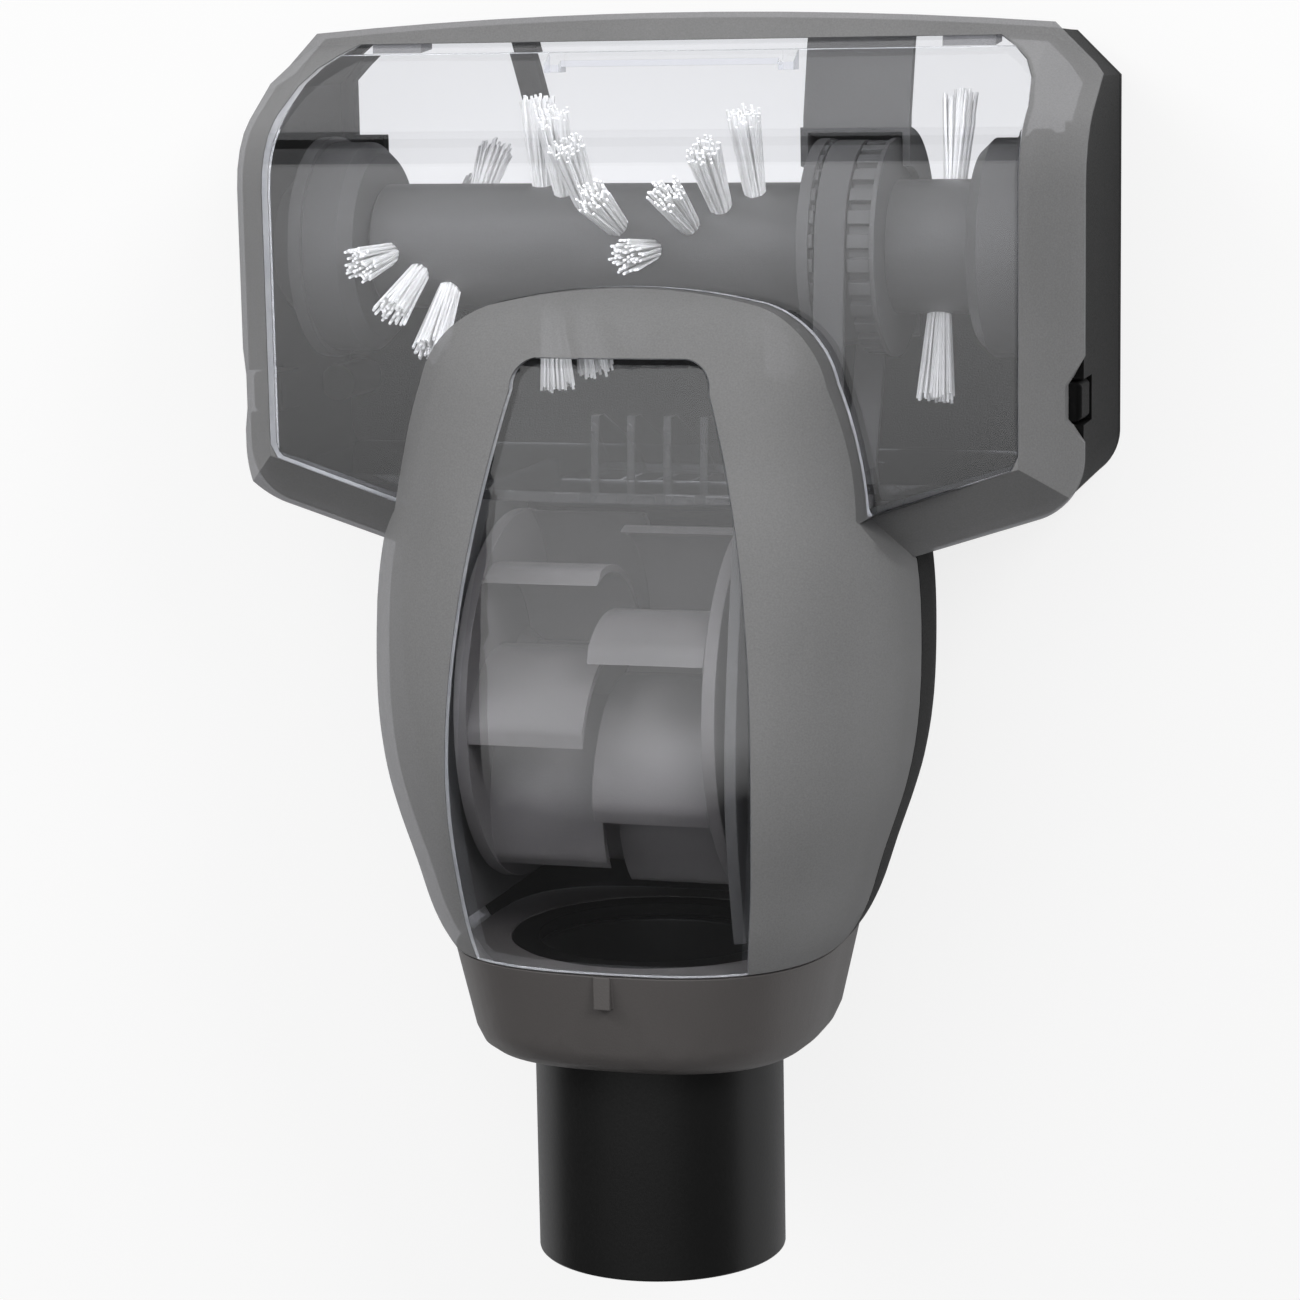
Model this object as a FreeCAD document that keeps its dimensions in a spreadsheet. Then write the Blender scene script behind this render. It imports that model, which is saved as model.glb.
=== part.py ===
import FreeCAD, Part
import math
import os

import Sketcher
from FreeCAD import Placement, Rotation, Vector

# A suction-driven turbo brush head for a vacuum cleaner, resting on its sole.
# +Z is up, +Y is the brush front, -Y the tube end. The floor is z = 0 and y = 0 is the roller axis.

SIZES = [
    # alias, millimetres, what it is
    ("wall", 2.0, "housing wall"),
    ("cover_wall", 1.8, "wall of the cover and its windows"),
    ("seam", 0.3, "gap between cover and housing"),
    ("pane_gap", 0.1, "gap round a window pane"),
    ("seat_gap", 0.1, "gap between fixed pieces"),
    ("run_gap", 0.3, "gap beside turning pieces"),
    ("shaft_fit", 0.05, "radial play of a shaft in its bush"),
    ("head_half_width", 65.3, "half the width of the brush head"),
    ("band_width", 7.8, "side band in plan"),
    ("head_top", 49.2, "height of the flat top"),
    ("shoulder_height", 40.0, "height of the outer edge of the sloped band"),
    ("front_reach", 35.1, "front edge at the middle"),
    ("corner_cut", 7.6, "cut front corner, across"),
    ("corner_front", 32.8, "front edge at the cut corner"),
    ("corner_back", 25.2, "end of the cut front corner"),
    ("ledge_height", 25.0, "height of the ledge at the foot of the front slope"),
    ("ledge_fall", 1.5, "fall of the ledge to its front edge"),
    ("brow_foot", 31.0, "foot of the front slope"),
    ("brow_angle", 59.0, "angle of the front slope"),
    ("brow_radius", 12.0, "rounding from slope to flat top"),
    ("wing_half_width", 40.4, "where the rear wings meet the neck dome"),
    ("wing_back", 44.3, "rear edge at the dome"),
    ("wing_slope", 0.32, "rise of the rear edge per mm of width"),
    ("wing_radius", 9.0, "rounding of the rear corner"),
    ("wing_band", 8.4, "rear sloped band in plan"),
    ("ledge_side_drop", 3.2, "how far the ledge falls across the side band"),
    ("skirt", 1.0, "upright edge below the sloped band"),
    ("base_draft", 1.4, "how far the base leans in at its foot"),
    ("roller_height", 23.5, "height of the roller axis"),
    ("core_radius", 9.6, "roller core"),
    ("core_play", 0.4, "roller end to bearing holder"),
    ("spigot_radius", 7.0, "core inside the pulley"),
    ("end_radius", 10.0, "short roller end beyond the pulley"),
    ("tuft_tip_radius", 22.9, "tips of the bristles"),
    ("tuft_root_radius", 1.7, "hole for a tuft"),
    ("tuft_root_depth", 3.5, "depth of a tuft hole"),
    ("tuft_flare_radius", 2.2, "tuft at its tip"),
    ("tuft_play", 0.05, "tuft inside its hole"),
    ("tuft_twist", 4.2, "degrees of helix per mm along the roller"),
    ("tuft_centre", -1.5, "apex of the tuft helix"),
    ("roller_shaft_radius", 2.0, "steel roller shaft"),
    ("shaft_inset", 2.0, "roller shaft end inside the holder"),
    ("pulley_start", 22.6, "left face of the roller pulley"),
    ("pulley_end", 34.4, "right face of the roller pulley"),
    ("pulley_teeth", 28, "teeth of the roller pulley"),
    ("pulley_radius", 16.0, "tooth tips of the roller pulley"),
    ("pulley_flange_radius", 16.4, "flanges of the roller pulley"),
    ("pulley_flange", 1.8, "left flange of the roller pulley"),
    ("pulley_rim", 0.8, "right flange of the roller pulley"),
    ("tooth_depth", 1.1, "depth of a tooth"),
    ("belt_start", 25.3, "left edge of the drive belt"),
    ("belt_width", 4.6, "width of the drive belt"),
    ("belt_thickness", 1.2, "thickness of the drive belt"),
    ("belt_track", 14.6, "track of the belt on the roller pulley"),
    ("holder_radius", 16.3, "bearing holder"),
    ("holder_flange_radius", 17.3, "rim of the bearing holder"),
    ("holder_length", 9.5, "bearing holder without its stub"),
    ("holder_chamfer", 1.9, "chamfer of a bearing holder"),
    ("holder_space", 8.3, "bearing holder to the outer side"),
    ("holder_rim", 2.0, "width of the rim"),
    ("holder_stub_radius", 10.0, "stub in the cheek"),
    ("holder_stub", 5.2, "length of the stub"),
    ("bush_radius", 5.0, "outside of a bearing bush"),
    ("bush_width", 5.0, "width of a roller bush"),
    ("bush_inset", 1.1, "roller bush inside the holder face"),
    ("turbine_back", 66.8, "turbine axis behind the roller axis"),
    ("turbine_height", 39.5, "height of the turbine axis"),
    ("turbine_radius", 28.0, "turbine wheel"),
    ("turbine_half_width", 19.7, "half the width of the two-row turbine"),
    ("turbine_shift", 2.65, "turbine to the left of the middle"),
    ("disc_thickness", 2.0, "turbine disc"),
    ("hub_radius", 8.0, "turbine hub"),
    ("blade_thickness", 1.2, "turbine blade"),
    ("blade_count", 7, "blades of one turbine wheel"),
    ("blade_turn", 3.0, "degrees that the left wheel is turned about its axis"),
    ("scoop_radius", 16.6, "curve of a blade"),
    ("scoop_back", 7.1, "centre of that curve behind the blade tip"),
    ("scoop_height", 12.7, "centre of that curve above the turbine axis"),
    ("turbine_shaft_radius", 2.0, "turbine shaft"),
    ("shaft_overhang", 1.2, "turbine shaft beyond its left bush"),
    ("shaft_tip", 0.8, "turbine shaft beyond the pinion"),
    ("pinion_gap", 0.45, "turbine pinion to the right bush"),
    ("pinion_end", 31.6, "right face of the turbine pinion"),
    ("pinion_teeth", 10, "teeth of the turbine pinion"),
    ("pinion_radius", 5.6, "tooth tips of the pinion"),
    ("pinion_track", 4.6, "track of the belt on the pinion"),
    ("pinion_rim", 1.0, "flange of the pinion"),
    ("pinion_rim_radius", 7.2, "flange of the pinion"),
    ("carrier_gap", 1.8, "turbine disc to the carrier plate"),
    ("carrier_thickness", 1.6, "turbine carrier plate"),
    ("carrier_boss_radius", 7.0, "boss round the turbine bush"),
    ("carrier_boss_rise", 1.3, "boss towards the turbine disc"),
    ("tube_height", 41.0, "height of the neck tube axis"),
    ("tube_radius", 19.0, "neck tube outside"),
    ("tube_wall", 1.5, "wall of the neck tube"),
    ("tube_end", 152.3, "end of the neck tube"),
    ("flange_rise", 2.9, "rise of the flange that keeps the tube in the collar"),
    ("tube_flange", 2.5, "thickness of that flange"),
    ("dome_end", 102.5, "rear end of the dome"),
    ("collar_gap", 0.3, "gap between dome and collar"),
    ("collar_end", 118.5, "rear end of the collar"),
    ("collar_lip", 3.5, "rounded part of the collar end"),
    ("collar_bore_gap", 0.35, "play of the tube in the collar"),
    ("collar_pocket", 5.2, "depth of the flange pocket"),
    ("ring_thickness", 2.0, "retaining ring"),
    ("ring_relief", 0.6, "how much wider the ring is than the tube bore"),
    ("pointer_width", 2.6, "raised pointer on the collar"),
    ("pointer_length", 5.0, "raised pointer on the collar"),
    ("pointer_rise", 0.6, "raised pointer on the collar"),
    ("dome_power", 2.7, "roundness of the dome section"),
    ("belly_power", 3.4, "roundness of the belly section"),
    ("belly_bottom", 6.0, "underside of the belly"),
    ("runner_half_gap", 20.0, "skid runner from the middle"),
    ("runner_width", 4.0, "skid runner"),
    ("runner_front", 50.0, "front end of a runner"),
    ("runner_back", 92.0, "rear end of a runner"),
    ("runner_nose", 5.0, "chamfer at the runner ends"),
    ("scroll_gap", 1.4, "air gap under the turbine"),
    ("sole_thickness", 2.4, "sole plate"),
    ("sole_chamfer", 0.6, "edge of the sole"),
    ("mouth_side", 9.8, "side rail of the sole beside the bearing holders"),
    ("mouth_front_side", 4.9, "side rail of the sole in front of the holders"),
    ("mouth_cheek", 17.6, "start of the wider front of the mouth"),
    ("mouth_corner", 6.1, "cut front corner of the mouth"),
    ("mouth_front", 30.6, "front edge of the mouth"),
    ("mouth_back", 10.5, "rear edge of the mouth"),
    ("bar_place", -28.4, "sole crossbar under the roller, between two tufts"),
    ("bar_width", 4.0, "sole crossbar"),
    ("bar_bend", 16.3, "where the crossbar turns aside"),
    ("bar_skew", 3.8, "sideways run of its front end"),
    ("guard_start", 19.1, "left face of the belt guard"),
    ("guard_width", 16.9, "belt guard"),
    ("guard_wall", 1.2, "end wall of the belt guard"),
    ("guard_shell", 1.0, "curved wall of the belt guard"),
    ("guard_top", 22.6, "top of the belt guard"),
    ("guard_gap", 0.9, "gap round the pulley in the guard"),
    ("guard_bore_gap", 2.0, "gap round the roller in the guard"),
    ("guard_back", 8.0, "rear end of the curved wall"),
    ("guard_plate", 1.6, "plate in front of the pulley"),
    ("guard_skew", 1.2, "sideways run of that plate"),
    ("guard_foot", 15.0, "rear end of the guard foot"),
    ("guard_overlap", 0.7, "how far the plate runs into the trough"),
    ("guard_inset", 0.4, "plate edge inside the trough side, left; half of it right"),
    ("cheek_thickness", 2.0, "cheek that carries a bearing holder"),
    ("cheek_half_length", 16.5, "cheek length either side of the axis"),
    ("cheek_top", 24.0, "top of the cheek"),
    ("screw_boss_radius", 2.9, "screw boss"),
    ("screw_radius", 1.3, "screw shank"),
    ("screw_length", 9.0, "screw shank"),
    ("screw_head_radius", 2.6, "screw head"),
    ("screw_head", 1.5, "screw head height"),
    ("screw_side", 5.4, "side screws to the outer side"),
    ("screw_side_back", 22.4, "side screws behind the roller axis"),
    ("screw_rear_side", 3.6, "rear screws beyond the start of the wing"),
    ("screw_rear_inset", 6.7, "rear screws in front of the rear edge"),
    ("nozzle_plane", 33.0, "front face of the nozzle wall"),
    ("nozzle_wall", 1.5, "nozzle wall"),
    ("nozzle_half_width", 14.0, "half the width of the inlet to the turbine"),
    ("nozzle_shift", 1.7, "inlet to the right of the middle"),
    ("vane_count", 4, "guide vanes"),
    ("nozzle_low", 26.0, "lower edge of the inlet"),
    ("nozzle_high", 46.0, "upper edge of the inlet"),
    ("vane_length", 9.5, "guide vane"),
    ("vane_thickness", 1.3, "guide vane"),
    ("latch_front", 18.4, "front end of a side catch"),
    ("latch_length", 6.0, "side catch"),
    ("latch_low", 31.0, "underside of a side catch"),
    ("latch_high", 38.6, "top of a side catch"),
    ("latch_depth", 5.0, "depth of a side catch"),
    ("latch_recess", 0.7, "how far a catch lies inside the side wall"),
    ("notch_depth", 2.3, "thumb notch in the cover, right side"),
    ("left_notch_depth", 0.8, "thumb notch in the cover, left side"),
    ("notch_floor", 5.0, "straight floor of a notch"),
    ("notch_middle", 21.2, "middle of a notch behind the roller axis"),
    ("notch_front_slant", 4.1, "slanted front end of a notch"),
    ("notch_rear_slant", 3.4, "slanted rear end of a notch"),
    ("tongue_side", 20.3, "cover tongue to the outer side"),
    ("tongue_width", 8.0, "cover tongue"),
    ("tongue_depth", 4.0, "cover tongue below the parting"),
    ("tongue_thickness", 1.4, "cover tongue"),
    ("snap_half_length", 19.5, "bar at the foot of the head window"),
    ("snap_depth", 2.2, "bar at the foot of the head window"),
]

# Dome stations: share of the way from the nose to the rear end, half width, height of the crest.
DOME_STATIONS = [
    (0.0, 36.0, 48.2), (0.069, 36.0, 55.4), (0.128, 36.3, 59.8), (0.207, 36.8, 62.3),
    (0.305, 38.0, 64.7), (0.4335, 40.4, 68.0), (0.5616, 41.0, 71.0), (0.68, 40.3, 73.0),
    (0.778, 38.2, 73.3), (0.877, 34.8, 72.2), (1.0, 29.5, 69.4),
]
DOME_NOSE = -1.0

# Plan of the dome nose on the flat top, right half: three arcs from the middle outward, then the flank.
NOSE_ARC = [(0.0, -4.2), (20.5, -6.6)]
NOSE_CORNER = [(27.4, -11.0), (31.0, -18.0)]
NOSE_FLANK = [(33.8, -27.0), (35.3, -37.0)]

# Plan of the turbine window, right side: start, middle and end of the top corner, bulge, bottom.
PANE_CORNER = [(11.4, -13.8), (13.9, -15.1), (15.0, -18.4)]
PANE_BULGE = (22.4, -58.0)
PANE_FOOT = (20.5, -104.0)

# Plan of the head window, right half, from the front to the rear: distance from the outer side, then y.
WINDOW_PLAN = [(15.1, 31.0), (12.6, 29.5), (10.2, 27.5), (8.7, 25.0), (7.9, 21.0), (7.9, -28.2),
               (9.0, -30.3)]

# Tufts along the roller: share of the way from the left end to the pulley, the same for both helices.
TUFT_PLACES = [0.0516, 0.1162, 0.1793, 0.3745, 0.4362, 0.4993, 0.5753, 0.6542, 0.736, 0.802, 0.868]

# Tufts beyond the pulley: share of the way from the pulley to the right end, then the angle.
END_TUFTS = [(0.63, 105.0), (0.52, -80.0)]

# Expressions that several profiles share.
HOLDER_END = "(Sizes.head_half_width - Sizes.holder_space)"
HOLDER_FACE = "(Sizes.head_half_width - Sizes.holder_space - Sizes.holder_length)"
CORE_END = "(Sizes.head_half_width - Sizes.holder_space - Sizes.holder_length - Sizes.core_play)"
SHAFT_END = "(Sizes.head_half_width - Sizes.holder_space - Sizes.shaft_inset)"
FLANGE_RADIUS = "(Sizes.tube_radius + Sizes.flange_rise)"
RIGHT_CARRIER = "(Sizes.turbine_half_width - Sizes.turbine_shift + Sizes.carrier_gap)"
LEFT_CARRIER = "(Sizes.turbine_half_width + Sizes.turbine_shift + Sizes.carrier_gap)"
PINION_START = "(%s + Sizes.carrier_thickness + Sizes.pinion_gap)" % RIGHT_CARRIER

document = FreeCAD.newDocument("TurboBrush")
sheet = document.addObject("Spreadsheet::Sheet", "Sizes")
for row, (alias, amount, note) in enumerate(SIZES, start=1):
    sheet.set("A%d" % row, alias)
    sheet.set("B%d" % row, str(amount))
    sheet.set("C%d" % row, note)
    sheet.setAlias("B%d" % row, alias)
document.recompute()


def size(alias):
    """The value of one cell of the sheet."""
    return float(sheet.get(alias))


def inside_side(clearance):
    """Distance from the middle of a place that lies the given clearance inside the outer side."""
    return size("head_half_width") - size(clearance)


def origin_plane(body, role):
    return [feature for feature in body.Origin.OriginFeatures if feature.Role == role][0]


def place(thing, **bindings):
    """Bind the coordinates of a placement to the sheet."""
    for axis, expression in bindings.items():
        thing.setExpression("Placement.Base." + axis, expression)


def outline_sketch(body, name, corners, role="XY_Plane"):
    """A closed sketch whose corners are pairs of expressions, measured from the origin."""
    sketch = body.newObject("Sketcher::SketchObject", name)
    sketch.AttachmentSupport = [(origin_plane(body, role), "")]
    sketch.MapMode = "FlatFace"
    count = len(corners)
    start = [Vector(math.cos(2 * math.pi * k / count), math.sin(2 * math.pi * k / count), 0) * 10
             for k in range(count)]
    for k in range(count):
        sketch.addGeometry(Part.LineSegment(start[k], start[(k + 1) % count]), False)
    for k in range(count):
        sketch.addConstraint(Sketcher.Constraint("Coincident", k, 2, (k + 1) % count, 1))
    for k, pair in enumerate(corners):
        for kind, expression in zip(("DistanceX", "DistanceY"), pair):
            index = sketch.addConstraint(Sketcher.Constraint(kind, -1, 1, k, 1, 1.0))
            sketch.setExpression("Constraints[%d]" % index, expression)
    return sketch


def turned(name, corners, axis="H_Axis"):
    """A turned piece: corners are (along, radius) about X, or (radius, along) about Y."""
    body = document.addObject("PartDesign::Body", name)
    sketch = outline_sketch(body, name + "_profile", corners)
    turn = body.newObject("PartDesign::Revolution", name + "_turned")
    turn.Profile = sketch
    turn.ReferenceAxis = (sketch, [axis])
    turn.Angle = 360
    return body


def on_roller_axis(thing):
    place(thing, z="Sizes.roller_height")
    return thing


def on_turbine_axis(thing):
    place(thing, y="-Sizes.turbine_back", z="Sizes.turbine_height")
    return thing


def on_tube_axis(thing):
    place(thing, z="Sizes.tube_height")
    return thing


def ring(name, inner, outer, start, end):
    """A plain bush along X."""
    return turned(name, [(start, inner), (end, inner), (end, outer), (start, outer)])


def solid_feature(name, shape):
    feature = document.addObject("Part::Feature", name)
    feature.Shape = shape
    return feature


def polygon(points):
    return Part.makePolygon([Vector(*point) for point in points] + [Vector(*points[0])])


def prism(wire, direction):
    return Part.Face(wire).extrude(Vector(*direction))


def box_between(low, high):
    return Part.makeBox(high[0] - low[0], high[1] - low[1], high[2] - low[2], Vector(*low))


def rod(radius, start, end, y, z):
    """A cylinder along X."""
    return Part.makeCylinder(radius, end - start, Vector(start, y, z), Vector(1, 0, 0))


def mirrored(shape):
    return shape.mirror(Vector(0, 0, 0), Vector(1, 0, 0))


# Forms of the housing. Each takes an inset, so the same form gives the outside and the cavity.

def brow_profile(inset):
    """Points (y, z) of the front slope, its rounding and the flat top, pushed in by the inset."""
    angle = math.radians(size("brow_angle"))
    top = size("head_top") - inset
    foot_y = size("brow_foot") - inset / math.sin(angle)
    foot_z = size("ledge_height")
    radius = size("brow_radius") - inset
    bend_y = foot_y - (top - foot_z) / math.tan(angle)
    centre_y = bend_y - radius * math.tan(angle / 2)
    steps = 4
    arc = [(centre_y + radius * math.sin(angle * (1 - k / steps)),
            top - radius + radius * math.cos(angle * (1 - k / steps))) for k in range(steps + 1)]
    return [(foot_y, foot_z)] + arc


def ledge_profile(inset):
    """Points (y, z) under the ledge in front of the slope."""
    fall = size("ledge_fall") / (size("front_reach") - size("brow_foot"))
    top = size("ledge_height") - inset * math.hypot(1, fall)
    back, front = size("brow_foot") - 7, size("front_reach") + 10
    return [(back, -20), (front, -20), (front, top - fall * (front - size("brow_foot"))),
            (back, top + fall * (size("brow_foot") - back))]


def banded(points, inset, drop):
    """A long form with the given side profile, whose ends fall away in a slanted band."""
    fall = size("head_top") - size("shoulder_height")
    reach = size("band_width")
    inner = inside_side("band_width") - inset * (math.hypot(fall, reach) - reach) / fall
    middle = prism(polygon([(-inner, y, z) for y, z in points]), (2 * inner, 0, 0))
    band = prism(polygon([(inner, y, z) for y, z in points]), (reach * 1.5, 0, -drop * 1.5))
    return middle.fuse(band).fuse(mirrored(band))


def wing_cutter(inset):
    """Wedge above the sloped band of the right rear wing."""
    fall = size("head_top") - size("shoulder_height")
    slope = math.atan(size("wing_slope"))
    along = Vector(math.cos(slope), math.sin(slope), 0)
    rise = Vector(-math.sin(slope) * size("wing_band"), math.cos(slope) * size("wing_band"), fall)
    normal = rise.cross(along).normalize() * -1
    if normal.z < 0:
        normal = normal * -1
    start = Vector(size("wing_half_width"), -size("wing_back"), size("shoulder_height")) - normal * inset
    low, high = start - rise * 3, start + rise * 3
    corners = [low - along * 90, low + along * 90, high + along * 90, high - along * 90]
    return prism(Part.makePolygon(corners + [corners[0]]), tuple(normal * 60))


def plan_points(inset):
    """Corners of the head in plan, right half: front corner, cut corner, rear corner, wing end."""
    side = size("head_half_width") - inset
    cut = inset * math.tan(math.radians(22.5))
    slope = size("wing_slope")
    back = inset * math.hypot(1, slope)
    wing_y = -size("wing_back") + back
    rear_y = wing_y + slope * (side - size("wing_half_width"))
    return [(inside_side("corner_cut") - cut, size("corner_front") - inset),
            (side, size("corner_back") - cut), (side, rear_y), (size("wing_half_width"), wing_y)]


def plan_wire(inset, z):
    """Outline of the head in plan, with a bowed front and rounded rear corners."""
    front, cut, rear, wing = plan_points(inset)
    slope = math.atan(size("wing_slope"))
    tangent = (size("wing_radius") - inset) * math.tan((math.pi / 2 - slope) / 2)
    radius_start = (rear[0], rear[1] + tangent)
    radius_end = (rear[0] - tangent * math.cos(slope), rear[1] - tangent * math.sin(slope))
    middle = (rear[0] + (radius_start[0] + radius_end[0] - 2 * rear[0]) * 0.29,
              rear[1] + (radius_start[1] + radius_end[1] - 2 * rear[1]) * 0.29)

    def point(pair, side):
        return Vector(pair[0] * side, pair[1], z)

    edges = [Part.Arc(point(front, -1), Vector(0, size("front_reach") - inset, z),
                      point(front, 1)).toShape(),
             Part.LineSegment(point(front, 1), point(cut, 1)).toShape(),
             Part.LineSegment(point(cut, 1), point(radius_start, 1)).toShape(),
             Part.Arc(point(radius_start, 1), point(middle, 1), point(radius_end, 1)).toShape(),
             Part.LineSegment(point(radius_end, 1), point(wing, 1)).toShape(),
             Part.LineSegment(point(wing, 1), point(wing, -1)).toShape(),
             Part.LineSegment(point(wing, -1), point(radius_end, -1)).toShape(),
             Part.Arc(point(radius_end, -1), point(middle, -1), point(radius_start, -1)).toShape(),
             Part.LineSegment(point(radius_start, -1), point(cut, -1)).toShape(),
             Part.LineSegment(point(cut, -1), point(front, -1)).toShape()]
    return Part.Wire(edges)


def head_form(inset):
    """The whole head block down to the floor, smaller by the inset."""
    top = brow_profile(inset)
    block = banded([(top[0][0], -20)] + top + [(-80, top[-1][1]), (-80, -20)], inset,
                   size("head_top") - size("shoulder_height"))
    block = block.fuse(banded(ledge_profile(inset), inset, size("ledge_side_drop")))
    block = block.common(prism(plan_wire(inset, -10), (0, 0, 80)))
    wedge = wing_cutter(inset)
    return block.cut(wedge).cut(mirrored(wedge)).removeSplitter()


def dome_section(y, half_width, crest, floor, inset):
    """Closed section of dome and belly: a rounded arch over a flatter rounded trough."""
    middle = size("tube_height")
    width = half_width - inset
    points = []
    steps = 10
    for k in range(steps * 4):
        turn = 2 * math.pi * k / (steps * 4)
        c, s = math.cos(turn), math.sin(turn)
        power = size("dome_power") if s >= 0 else size("belly_power")
        rise = (crest - middle - inset) if s >= 0 else (middle - floor - inset)
        points.append(Vector(width * math.copysign(abs(c) ** (2 / power), c), y,
                             middle + rise * math.copysign(abs(s) ** (2 / power), s)))
    curve = Part.BSplineCurve()
    curve.interpolate(points, True)
    return Part.Wire(curve.toShape())


def belly_floor(y):
    """The belly rises a little towards the collar."""
    rise_start = -(size("runner_back") - 6)
    if y >= rise_start:
        return size("belly_bottom")
    share = (rise_start - y) / (rise_start + size("dome_end"))
    return size("belly_bottom") + 7.0 * share


def dome_stations():
    reach = size("dome_end") + DOME_NOSE
    return [(DOME_NOSE - share * reach, half, crest) for share, half, crest in DOME_STATIONS]


def dome_form(inset, end_extra=0.0):
    """The dome over the neck, with the belly below, smaller by the inset."""
    stations = dome_stations()
    wires = [dome_section(y, half, crest, belly_floor(y), inset) for y, half, crest in stations]
    form = Part.makeLoft(wires, True, False)
    if end_extra:
        last = Part.Face(dome_section(stations[-1][0], stations[-1][1], stations[-1][2],
                                      belly_floor(stations[-1][0]), inset))
        form = form.fuse(last.extrude(Vector(0, -end_extra, 0)))
    return form.common(nose_prism(inset))


def nose_prism(inset):
    """Plan limit of the dome where it lies on the flat top, open towards the rear."""
    def push(pair, share=1.0):
        return (pair[0] - inset * share, pair[1] - inset * (1.3 - share))

    mid = (NOSE_ARC[0][0], NOSE_ARC[0][1] - inset)
    a = push(NOSE_ARC[1], 0.35)
    b = push(NOSE_CORNER[0], 0.7)
    c = push(NOSE_CORNER[1], 0.9)
    d = (NOSE_FLANK[0][0] - inset, NOSE_FLANK[0][1])
    e = (NOSE_FLANK[1][0] - inset, NOSE_FLANK[1][1] - inset * 0.4)
    wing = (size("wing_half_width") + 0.4 - inset, -size("wing_back") - 1.2)
    far = (60, wing[1])
    rear = (60, -size("collar_end") - 12)
    low = 0

    def point(pair, side):
        return Vector(pair[0] * side, pair[1], low)

    edges = [Part.Arc(point(a, -1), Vector(mid[0], mid[1], low), point(a, 1)).toShape(),
             Part.Arc(point(a, 1), point(b, 1), point(c, 1)).toShape(),
             Part.Arc(point(c, 1), point(d, 1), point(e, 1)).toShape(),
             Part.LineSegment(point(e, 1), point(wing, 1)).toShape(),
             Part.LineSegment(point(wing, 1), point(far, 1)).toShape(),
             Part.LineSegment(point(far, 1), point(rear, 1)).toShape(),
             Part.LineSegment(point(rear, 1), point(rear, -1)).toShape(),
             Part.LineSegment(point(rear, -1), point(far, -1)).toShape(),
             Part.LineSegment(point(far, -1), point(wing, -1)).toShape(),
             Part.LineSegment(point(wing, -1), point(e, -1)).toShape(),
             Part.Arc(point(e, -1), point(d, -1), point(c, -1)).toShape(),
             Part.Arc(point(c, -1), point(b, -1), point(a, -1)).toShape()]
    return prism(Part.Wire(edges), (0, 0, 90))


def parting_points(drop):
    """The parting line seen from the side, from the far front to the far rear, lowered by the drop."""
    angle = math.radians(size("brow_angle"))
    fall = size("head_top") - size("shoulder_height")
    profile = brow_profile(0.0)
    low = size("ledge_height") - 2 * size("ledge_fall") - drop
    foot_y = profile[0][0] - (fall - size("ledge_fall") * 2 + size("skirt")) / math.tan(angle)
    line = [(y, z - fall - size("skirt") - drop) for y, z in profile[1:]]
    return [(60, low), (foot_y, low)] + line + [(-size("collar_end") - 12, line[-1][1])]


def beside_parting(drop, level):
    """Everything between the parting line and a level above or below the whole part."""
    line = parting_points(drop)
    half = size("head_half_width") + 20
    points = line + [(line[-1][0], level), (line[0][0], level)]
    return prism(polygon([(-half, y, z) for y, z in points]), (2 * half, 0, 0))


def above_parting():
    return beside_parting(0.0, 120)


def below_parting(drop):
    return beside_parting(drop, -30)


def cover_shell():
    """Everything above the parting line before the windows are cut out."""
    outside = head_form(0.0).fuse(dome_form(0.0))
    inside = head_form(size("cover_wall")).fuse(dome_form(size("cover_wall"), 5.0))
    return outside.cut(inside).common(above_parting())


def window_prism(grow):
    """Plan of the head window, outside the dome nose."""
    side = size("head_half_width")
    points = [(side - inset + grow, y + grow * 0.5) for inset, y in WINDOW_PLAN]
    slope = size("wing_slope") + 0.02
    last = (side - WINDOW_PLAN[-1][0], WINDOW_PLAN[-1][1])
    points[-1] = (last[0] + grow, last[1] - grow)
    points.append((0.0, last[1] - slope * last[0] - grow))
    right = [(x, y, 10) for x, y in points]
    left = [(-x, y, 10) for x, y in reversed(points[:-1])]
    return prism(polygon(right + left), (0, 0, 80))


def pane_prism(grow):
    """Plan of the turbine window."""
    def point(pair, side, out=1.0, up=0.0):
        return Vector((pair[0] + grow * out) * side, pair[1] + grow * up, 30)

    def corner(side):
        start, middle, end = PANE_CORNER
        return point(start, side, 0.0, 1.0), point(middle, side, 0.7, 0.7), point(end, side)

    right, left = corner(1), corner(-1)
    bulge, foot = PANE_BULGE, PANE_FOOT
    edges = [Part.LineSegment(left[0], right[0]).toShape(),
             Part.Arc(*right).toShape(),
             Part.Arc(right[2], point(bulge, 1), point(foot, 1)).toShape(),
             Part.LineSegment(point(foot, 1), point(foot, -1)).toShape(),
             Part.Arc(point(foot, -1), point(bulge, -1), left[2]).toShape(),
             Part.Arc(left[2], left[1], left[0]).toShape()]
    return prism(Part.Wire(edges), (0, 0, 60))


def thumb_notch(depth):
    """Notch with slanted ends in the right edge of the cover, over the side catch."""
    side = size("head_half_width")
    middle, half = -size("notch_middle"), size("notch_floor") / 2
    front = middle + half + size("notch_front_slant")
    back = middle - half - size("notch_rear_slant")
    outline = [(side - depth, middle + half, 20), (side, front, 20), (side + 10, front, 20),
               (side + 10, back, 20), (side, back, 20), (side - depth, middle - half, 20)]
    return prism(polygon(outline), (0, 0, 40))


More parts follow.
